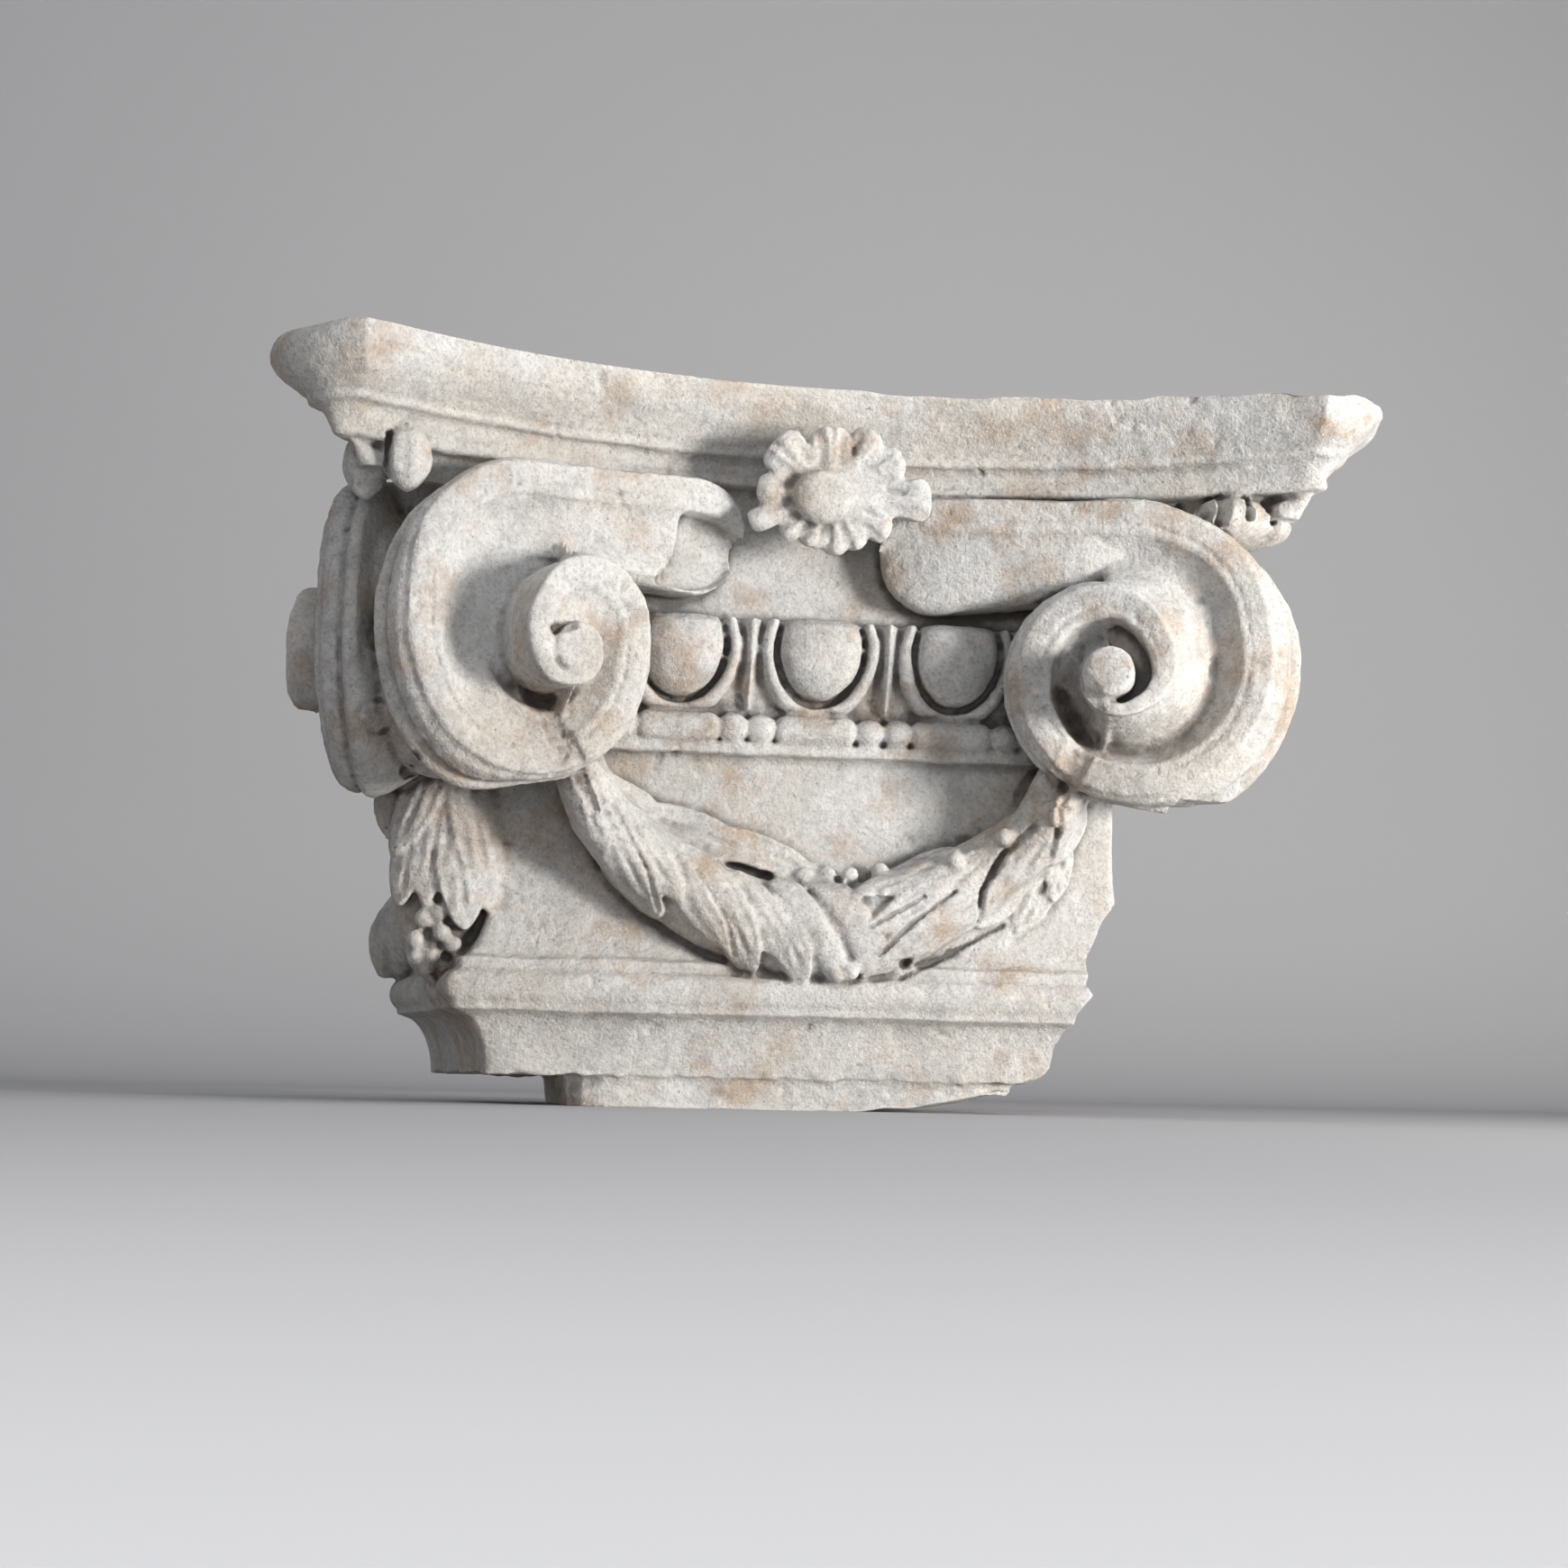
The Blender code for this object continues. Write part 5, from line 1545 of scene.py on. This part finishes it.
@dataclass(frozen=True)
class WeatheredMarbleWithPaintedLight:
    """White marble carved with chisel and drill, weathered rough and unpolished.

    The colour is an off-white stone with warm ochre patches, grey bloomed patches and brown stains low in the
    hollows, painted shade with some grime in the drill lines and crevices, painted grey shade in the wide
    hollows and painted highlight with rubbed wear on the arrises, all quite matt.
    """

    stone: str = "ECECEB"
    cream: str = "DDCFB9"
    grey_tone: str = "B4B4B3"
    ochre: str = "BF9B72"
    brown_mark: str = "7E6146"
    dark_shade_and_dirt: str = "3E3832"
    pale_and_highlight: str = "F6F5F2"
    speck: str = "7A7168"
    roughness: float = 0.84
    patch_mm: float = 120.0
    cloud_mm: float = 34.0
    mottle_mm: float = 9.0
    grit_mm: float = 1.8

    def mixed(self, tree: bpy.types.NodeTree, factor: bpy.types.NodeSocket, below: object,
              above: str) -> bpy.types.NodeSocket:
        """Lay one colour over what is below it by a factor, and return the colour socket."""
        node = add_node(tree, "ShaderNodeMix", {"Factor": factor}, data_type="RGBA")
        if isinstance(below, str):
            node.inputs[6].default_value = linear(below)
        else:
            tree.links.new(below, node.inputs[6])
        node.inputs[7].default_value = linear(above)
        return node.outputs[2]

    def patch(self, tree: bpy.types.NodeTree, place: bpy.types.NodeSocket, grain_mm: float, low: float,
              high: float, detail: float = 4.0, seed: float = 0.0) -> bpy.types.NodeSocket:
        """Noise of a real grain, stretched between two levels to a 0 to 1 factor.

        Args:
            tree: The material's tree.
            place: The coordinates.
            grain_mm: Size of a patch in millimetres.
            low: Noise level that gives 0.
            high: Noise level that gives 1.
            detail: Finer octaves.
            seed: Shift of the pattern.

        Returns:
            The factor's socket.
        """
        noise = add_node(tree, "ShaderNodeTexNoise",
                         {"Vector": place, "W": seed, "Scale": 1000.0 / grain_mm, "Detail": detail,
                          "Roughness": 0.6}, noise_dimensions="4D")
        ramp = add_node(tree, "ShaderNodeMapRange",
                        {"Value": noise.outputs["Fac"], "From Min": low, "From Max": high})
        return ramp.outputs["Result"]

    def times(self, tree: bpy.types.NodeTree, first: object, second: object) -> bpy.types.NodeSocket:
        """Multiply two factors."""
        return add_node(tree, "ShaderNodeMath", {0: first, 1: second}, operation="MULTIPLY").outputs[0]

    def material(self) -> bpy.types.Material:
        """Build the stone's material.

        Returns:
            The material.
        """
        material = bpy.data.materials.new("weathered_marble_with_painted_light")
        material.use_nodes = True
        tree = material.node_tree
        shader = tree.nodes["Principled BSDF"]
        place = add_node(tree, "ShaderNodeTexCoord").outputs["Object"]
        # Painted light baked from the stone's depth: red darkens the crevices, green lightens the arrises,
        # blue greys the wide hollows.
        painted_light_dirt_and_wear = add_node(tree, "ShaderNodeAttribute", attribute_name="occlusion_shading")
        parts = add_node(tree, "ShaderNodeSeparateColor", {0: painted_light_dirt_and_wear.outputs["Color"]})
        crevice_shade_and_dirt, arris_highlight_and_wear, hollow = parts.outputs[0], parts.outputs[1], parts.outputs[2]
        brown_marked = add_node(tree, "ShaderNodeAttribute", attribute_name="brown_marking").outputs["Fac"]
        cream = self.patch(tree, place, self.patch_mm, 0.44, 0.66, 6.0)
        grey_tone = self.patch(tree, place, self.cloud_mm, 0.48, 0.70, 6.0, 3.0)
        ochre = self.patch(tree, place, self.cloud_mm * 1.6, 0.52, 0.70, 7.0, 7.0)
        mottle = self.patch(tree, place, self.mottle_mm, 0.44, 0.68, 5.0, 11.0)
        chalk = self.patch(tree, place, self.mottle_mm * 0.7, 0.50, 0.70, 5.0, 13.0)
        grain = self.patch(tree, place, self.grit_mm * 1.5, 0.46, 0.66, 3.0, 15.0)
        speck = self.patch(tree, place, self.grit_mm * 1.7, 0.64, 0.74, 2.0, 17.0)
        colour = self.mixed(tree, self.times(tree, cream, 0.45), self.stone, self.cream)
        colour = self.mixed(tree, self.times(tree, grey_tone, 0.50), colour, self.grey_tone)
        colour = self.mixed(tree, self.times(tree, ochre, 0.72), colour, self.ochre)
        colour = self.mixed(tree, self.times(tree, mottle, 0.30), colour, self.grey_tone)
        colour = self.mixed(tree, self.times(tree, chalk, 0.50), colour, self.pale_and_highlight)
        colour = self.mixed(tree, self.times(tree, grain, 0.30), colour, self.speck)
        # Painted highlight, partly rubbed wear: the arrises lighter.
        colour = self.mixed(tree, self.times(tree, arris_highlight_and_wear, 0.60), colour, self.pale_and_highlight)
        # Painted shade: the wide hollows greyer.
        colour = self.mixed(tree, self.times(tree, hollow, 0.30), colour, self.grey_tone)
        patchy = add_node(tree, "ShaderNodeMath", {0: mottle, 1: 0.55}, operation="ADD").outputs[0]
        # Brown marks: stains, and below the right eye a stain with a painted shadow.
        colour = self.mixed(tree, self.times(tree, brown_marked, patchy), colour, self.brown_mark)
        # Painted shade, partly grime: the crevices darker.
        colour = self.mixed(tree, self.times(tree, crevice_shade_and_dirt, 0.74), colour, self.dark_shade_and_dirt)
        colour = self.mixed(tree, self.times(tree, speck, 0.60), colour, self.speck)
        tree.links.new(colour, shader.inputs["Base Color"])
        shader.inputs["Roughness"].default_value = self.roughness
        shader.inputs["Metallic"].default_value = 0.0
        shader.inputs["IOR"].default_value = 1.49
        shader.inputs["Specular IOR Level"].default_value = 0.35
        self.bumps(tree, place, shader)
        return material

    def bumps(self, tree: bpy.types.NodeTree, place: bpy.types.NodeSocket, shader: bpy.types.Node) -> None:
        """Add the grit and the small pits of weathered marble, one on the other."""
        grit = add_node(tree, "ShaderNodeTexNoise",
                        {"Vector": place, "Scale": 1000.0 / self.grit_mm / 1.5, "Detail": 3.0,
                         "Roughness": 0.65})
        first = add_node(tree, "ShaderNodeBump",
                         {"Strength": 0.75, "Distance": 0.0016, "Height": grit.outputs["Fac"]})
        pits = add_node(tree, "ShaderNodeTexVoronoi", {"Vector": place, "Scale": 1000.0 / 7.0,
                                                       "Randomness": 1.0})
        dent = add_node(tree, "ShaderNodeMapRange",
                        {"Value": pits.outputs["Distance"], "From Min": 0.05, "From Max": 0.32})
        second = add_node(tree, "ShaderNodeBump",
                          {"Strength": 0.14, "Distance": 0.0016, "Height": dent.outputs["Result"],
                           "Normal": first.outputs["Normal"]})
        tree.links.new(second.outputs["Normal"], shader.inputs["Normal"])


@dataclass(frozen=True)
class PlainPaper:
    """Seamless studio paper, smooth and matt: the pale floor and the grey wall behind."""

    name: str
    colour: str
    roughness: float = 0.95

    def material(self) -> bpy.types.Material:
        """Build the paper's material, smooth and matt."""
        material = bpy.data.materials.new(self.name)
        material.use_nodes = True
        shader = material.node_tree.nodes["Principled BSDF"]
        shader.inputs["Base Color"].default_value = linear(self.colour)
        shader.inputs["Roughness"].default_value = self.roughness
        shader.inputs["Specular IOR Level"].default_value = 0.1
        return material


@dataclass(frozen=True)
class BrownMark:
    """A brown mark round a route on the front, in millimetres, with its reach and strength: mostly a stain,
    and below the right eye a stain with a painted shadow.
    """

    route: tuple[tuple[float, float], ...]
    reach: float
    strength: float


class Capital:
    """The whole block: its ornaments fused, broken, worn, parted and dressed."""

    brown_marks = (
        BrownMark(((-242, 322), (-228, 300), (-212, 275), (-196, 240)), 18, 0.64),
        # Below the right eye: a brown stain with a painted shadow in the shallow cut.
        BrownMark(((186, 335), (203, 298), (186, 262)), 22, 0.56),
        BrownMark(((160, 350), (162, 320)), 16, 0.38),
        BrownMark(((-200, 268), (-172, 205)), 16, 0.49),
        BrownMark(((-170, 225), (-120, 160)), 20, 0.34),
        BrownMark(((-130, 235), (-70, 205)), 14, 0.26),
        BrownMark(((-86, 150), (-50, 108)), 16, 0.41),
        BrownMark(((20, 150), (70, 125)), 12, 0.38),
        BrownMark(((150, 200), (190, 240)), 22, 0.30),
        BrownMark(((120, 160), (90, 120)), 16, 0.26),
        BrownMark(((-190, 370), (-186, 335), (-196, 312)), 9, 0.38),
        BrownMark(((-300, 270), (-318, 200), (-300, 130)), 34, 0.38),
        BrownMark(((-300, 108), (-296, 60), (-270, 28)), 22, 0.85),
        BrownMark(((-392, 420), (-392, 330), (-372, 285)), 24, 0.41),
        BrownMark(((-345, 330), (-330, 290)), 40, 0.26),
        BrownMark(((-266, 250), (-235, 160)), 30, 0.26),
        BrownMark(((290, 300), (320, 330)), 22, 0.22))
    courses = (
        Course("abacus_left", (-0.6, -0.6, 0.5135), (0.0, 0.2, 0.8)),
        Course("abacus_right", (0.0, -0.6, 0.5135), (0.6, 0.2, 0.8)),
        Course("scroll_left", (-0.6, -0.6, 0.2560), (-0.150, -0.2, 0.5135)),
        Course("side_left", (-0.6, -0.2, 0.2560), (-0.150, 0.2, 0.5135)),
        Course("bell", (-0.150, -0.6, 0.2560), (0.120, 0.2, 0.5135)),
        Course("scroll_right", (0.120, -0.6, 0.2560), (0.6, 0.2, 0.5135)),
        Course("neck_festoon", (-0.6, -0.6, 0.0990), (0.6, 0.2, 0.2560)),
        Course("foot_mouldings", (-0.6, -0.6, -0.2), (0.6, 0.2, 0.0990)))

    def __init__(self, voxel: float, triangles: int) -> None:
        """Set how fine the skin is.

        Args:
            voxel: Mesh spacing of the fused skin in metres.
            triangles: About how many triangles the whole skin keeps.
        """
        self.voxel = voxel
        self.triangles = triangles
        self.marble = WeatheredMarbleWithPaintedLight().material()

    def ornaments(self) -> list[Body]:
        """Every closed body of the block, in the carver's frame."""
        c = COURSES
        left = Scroll(Side.LEFT, LEFT_WINDING)
        parts = Block().bodies() + Abacus().bodies() + Scroll().bodies() + left.bodies()
        parts += [to_left_side(body) for body in left.bodies()]
        parts += RIGHT_CORNER.bodies() + LEFT_CORNER.bodies()
        parts += EggBand(-c.half_neck - c.bead_reach, c.half_neck + c.bead_reach).bodies()
        side_band = EggBand(-c.half_neck - c.bead_reach, 0.03)
        parts += [splayed(to_left_side(body)) for body in side_band.bodies()]
        rosette = Rosette().bodies()
        parts += rosette + [to_left_side(body) for body in rosette]
        parts += Festoon().bodies()
        parts += [splayed(to_left_side(body)) for body in side_festoon().bodies()]
        return parts + CornerBunch().bodies()

    def skin(self) -> bpy.types.Object:
        """Fuse the ornaments, break the flank, saw the back and wear the face.

        Returns:
            The worn skin, in the frame of the part.
        """
        item = mesh_object("skin", joined(self.ornaments()))
        apply_modifier(item, "REMESH", mode="VOXEL", voxel_size=self.voxel, adaptivity=0.0)
        LOG.info("fused skin: %d faces", len(item.data.polygons))
        for cutter in Breakage().cutters():
            tool = mesh_object("cutter", cutter)
            apply_modifier(item, "BOOLEAN", operation="DIFFERENCE", solver="MANIFOLD", object=tool)
            bpy.data.objects.remove(tool)
        Wear().work(item)
        points = mesh_points(item.data)
        points[:, 1] += COURSES.axis_depth
        low, high = (np.array(corner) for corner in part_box(NODE))
        set_points(item.data, np.clip(points, low, high))
        faces = sum(len(polygon.vertices) - 2 for polygon in item.data.polygons)
        apply_modifier(item, "DECIMATE", ratio=min(1.0, self.triangles / faces),
                       use_collapse_triangulate=True)
        LOG.info("worn skin: %d triangles", len(item.data.polygons))
        return item

    def part_off(self, skin: bpy.types.Object, course: Course) -> bpy.types.Object:
        """Copy the skin inside one course's box as a closed piece.

        As it stands this fails: the Boolean stops at non-manifold inputs, for a cause not yet
        known, and each piece stays a copy of the whole skin.

        Args:
            skin: The whole skin.
            course: The piece's name and box.

        Returns:
            The piece.
        """
        piece = bpy.data.objects.new(course.name, skin.data.copy())
        bpy.context.collection.objects.link(piece)
        low, high = np.array(course.low), np.array(course.high)
        x = np.array([[low[0], high[0], high[0], low[0]]] * 2)
        y = np.array([[low[1], low[1], high[1], high[1]]] * 2)
        z = np.array([[low[2]] * 4, [high[2]] * 4])
        tool = mesh_object("cutter", tube(np.stack([x, y, z], -1)))
        apply_modifier(piece, "BOOLEAN", operation="INTERSECT", solver="MANIFOLD", object=tool)
        bpy.data.objects.remove(tool)
        return piece

    def painted_light_dirt_and_wear(self, piece: bpy.types.Object, occlusion_shading: Occlusion) -> None:
        """Write the painted shade and highlight, with grime and rubbed wear, and the brown marks as
        attributes of the piece.

        Args:
            piece: The piece.
            occlusion_shading: The stone's depth at several blurs, which sets the painted shade and highlight.
        """
        mesh = piece.data
        points, normals = mesh_points(mesh), mesh_normals(mesh)
        fine = occlusion_shading.depth(points, normals, 0.0045)
        middle = occlusion_shading.depth(points, normals, 0.011)
        wide = occlusion_shading.depth(points, normals, 0.030)
        # Painted shade in the crevices (partly grime), painted highlight on the arrises (partly rubbed wear)
        # and painted grey shade in the wide hollows.
        crevice_shade_and_dirt = smooth(fine, 0.06, 0.28) * 0.85 + smooth(middle, 0.16, 0.42) * 0.6
        arris_highlight_and_wear = smooth(-fine, 0.05, 0.22)
        hollow = smooth(wide, 0.10, 0.42)
        colour = np.stack([np.clip(crevice_shade_and_dirt, 0, 1), arris_highlight_and_wear, hollow, np.ones(len(points))], -1)
        mesh.attributes.new("occlusion_shading", "FLOAT_COLOR", "POINT").data.foreach_set(
            "color", colour.astype(np.float32).ravel())
        carver = points - np.array([0.0, COURSES.axis_depth, 0.0])
        brown = np.zeros(len(points))
        for brown_mark in self.brown_marks:
            near = Cut(brown_mark.route, brown_mark.reach, 0.0).distance(carver)
            brown = np.maximum(brown, brown_mark.strength * np.exp(-near**2)
                               * (0.35 + 0.65 * smooth(middle, -0.05, 0.2)))
        brown *= smooth(-carver[:, 1], 0.15, 0.22)
        brown_marking = mesh.attributes.new("brown_marking", "FLOAT", "POINT")
        brown_marking.data.foreach_set("value", brown.astype(np.float32))

    def build(self) -> list[bpy.types.Object]:
        """Make the pieces, dress them and hand them to the frame.

        Returns:
            The finished pieces.
        """
        skin = self.skin()
        occlusion_shading = Occlusion(skin.data)
        pieces = []
        for course in self.courses:
            piece = self.part_off(skin, course)
            self.painted_light_dirt_and_wear(piece, occlusion_shading)
            piece.data.materials.clear()
            piece.data.materials.append(self.marble)
            piece.data.shade_smooth()
            piece.data.set_sharp_from_angle(angle=math.radians(70))
            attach(piece, "root")
            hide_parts(NODE)
            triangles = sum(len(face.vertices) - 2 for face in piece.data.polygons)
            LOG.info("%s: %d triangles", piece.name, triangles)
            pieces.append(piece)
        bpy.data.objects.remove(skin)
        return pieces


@dataclass(frozen=True)
class Studio:
    """A pale floor, a grey wall, soft lights and the camera at the photograph's viewing angle."""

    eye: tuple[float, float, float] = (-0.371, -2.3165, 0.024)
    yaw: float = math.radians(9.05)
    pitch: float = math.radians(6.26)
    roll: float = math.radians(1.28)
    sensor_mm: float = 36.0
    focal_px: float = 3000.0
    image_px: float = 1740.0
    floor_size: float = 9.0
    wall_distance: float = 2.2

    def camera(self) -> None:
        """Set the camera low in front, a little left, looking up and to the right."""
        ahead = Vector((math.sin(self.yaw) * math.cos(self.pitch), math.cos(self.yaw) * math.cos(self.pitch),
                        math.sin(self.pitch)))
        right = Vector((math.cos(self.yaw), -math.sin(self.yaw), 0.0))
        up = right.cross(ahead)
        side = right * math.cos(self.roll) + up * math.sin(self.roll)
        head = up * math.cos(self.roll) - right * math.sin(self.roll)
        data = bpy.data.cameras.new("photo_view")
        data.sensor_width = self.sensor_mm
        data.lens = self.sensor_mm * self.focal_px / self.image_px
        data.clip_start = 0.05
        camera = bpy.data.objects.new("photo_view", data)
        bpy.context.collection.objects.link(camera)
        matrix = Matrix((side, head, -ahead)).transposed().to_4x4()
        matrix.translation = Vector(self.eye)
        camera.matrix_world = matrix
        bpy.context.scene.camera = camera

    def sweep(self) -> None:
        """Lay the floor and curve it up into the wall behind."""
        half = self.floor_size / 2
        radius = 0.5
        angle = np.radians(np.linspace(0.0, 90.0, 17))
        run = np.concatenate([[-half], self.wall_distance - radius + radius * np.sin(angle),
                              [self.wall_distance]])
        rise = np.concatenate([[0.0], radius - radius * np.cos(angle), [5.0]])
        x = np.array([-half, half])[None, :]
        front = np.stack([x + 0 * run[:, None], run[:, None] + 0 * x, rise[:, None] + 0 * x], -1)
        back = front + np.array([0.0, 0.02, -0.02])
        sweep = mesh_object("floor_sweep", slab(front, back))
        sweep.data.materials.append(PlainPaper("pale_grey_seamless_paper", "B2B2B4").material())
        sweep.data.shade_smooth()
        sweep.data.set_sharp_from_angle(angle=math.radians(40))

    def lamp(self, name: str, place: tuple[float, float, float], size: float, power: float,
             colour: str) -> None:
        """Hang one soft square lamp aimed at the middle of the capital.

        Args:
            name: The lamp's name.
            place: Where it hangs.
            size: Its side in metres.
            power: Its strength in watts.
            colour: Its colour.
        """
        data = bpy.data.lights.new(name, "AREA")
        data.shape = "SQUARE"
        data.size = size
        data.energy = power
        data.color = linear(colour)[:3]
        light = bpy.data.objects.new(name, data)
        light.location = place
        aim = Vector((0.0, 0.0, 0.32)) - Vector(place)
        light.rotation_euler = aim.to_track_quat("-Z", "Y").to_euler()
        bpy.context.collection.objects.link(light)

    def lights(self) -> None:
        """A soft key low on the right, a weaker fill from the upper left and an even grey surround."""
        self.lamp("key_right_low", (1.9, -1.9, 0.30), 0.6, 122.0, "FFFBF6")
        self.lamp("fill_left_high", (-1.8, -2.2, 1.9), 1.6, 10.0, "F1F5FF")
        self.lamp("front_low", (-0.3, -2.5, 0.45), 0.8, 8.0, "FFFFFF")
        self.lamp("top_soft", (0.2, -0.6, 2.4), 1.4, 12.0, "FFFFFF")
        world = bpy.data.worlds.new("studio_surround")
        world.use_nodes = True
        background = world.node_tree.nodes["Background"]
        background.inputs["Color"].default_value = linear("E4E6EA")
        background.inputs["Strength"].default_value = 0.40
        bpy.context.scene.world = world

    def build(self) -> None:
        """Set up the whole studio."""
        self.camera()
        self.sweep()
        self.lights()
        bpy.context.scene.view_settings.view_transform = "Standard"


def main() -> None:
    """Build the capital and its studio."""
    logging.basicConfig(level=logging.INFO, format="%(name)s: %(message)s")
    voxel = 0.0021
    pieces = Capital(voxel, 880_000).build()
    LOG.info("%d pieces", len(pieces))
    Studio().build()


if __name__ == "__main__":
    main()
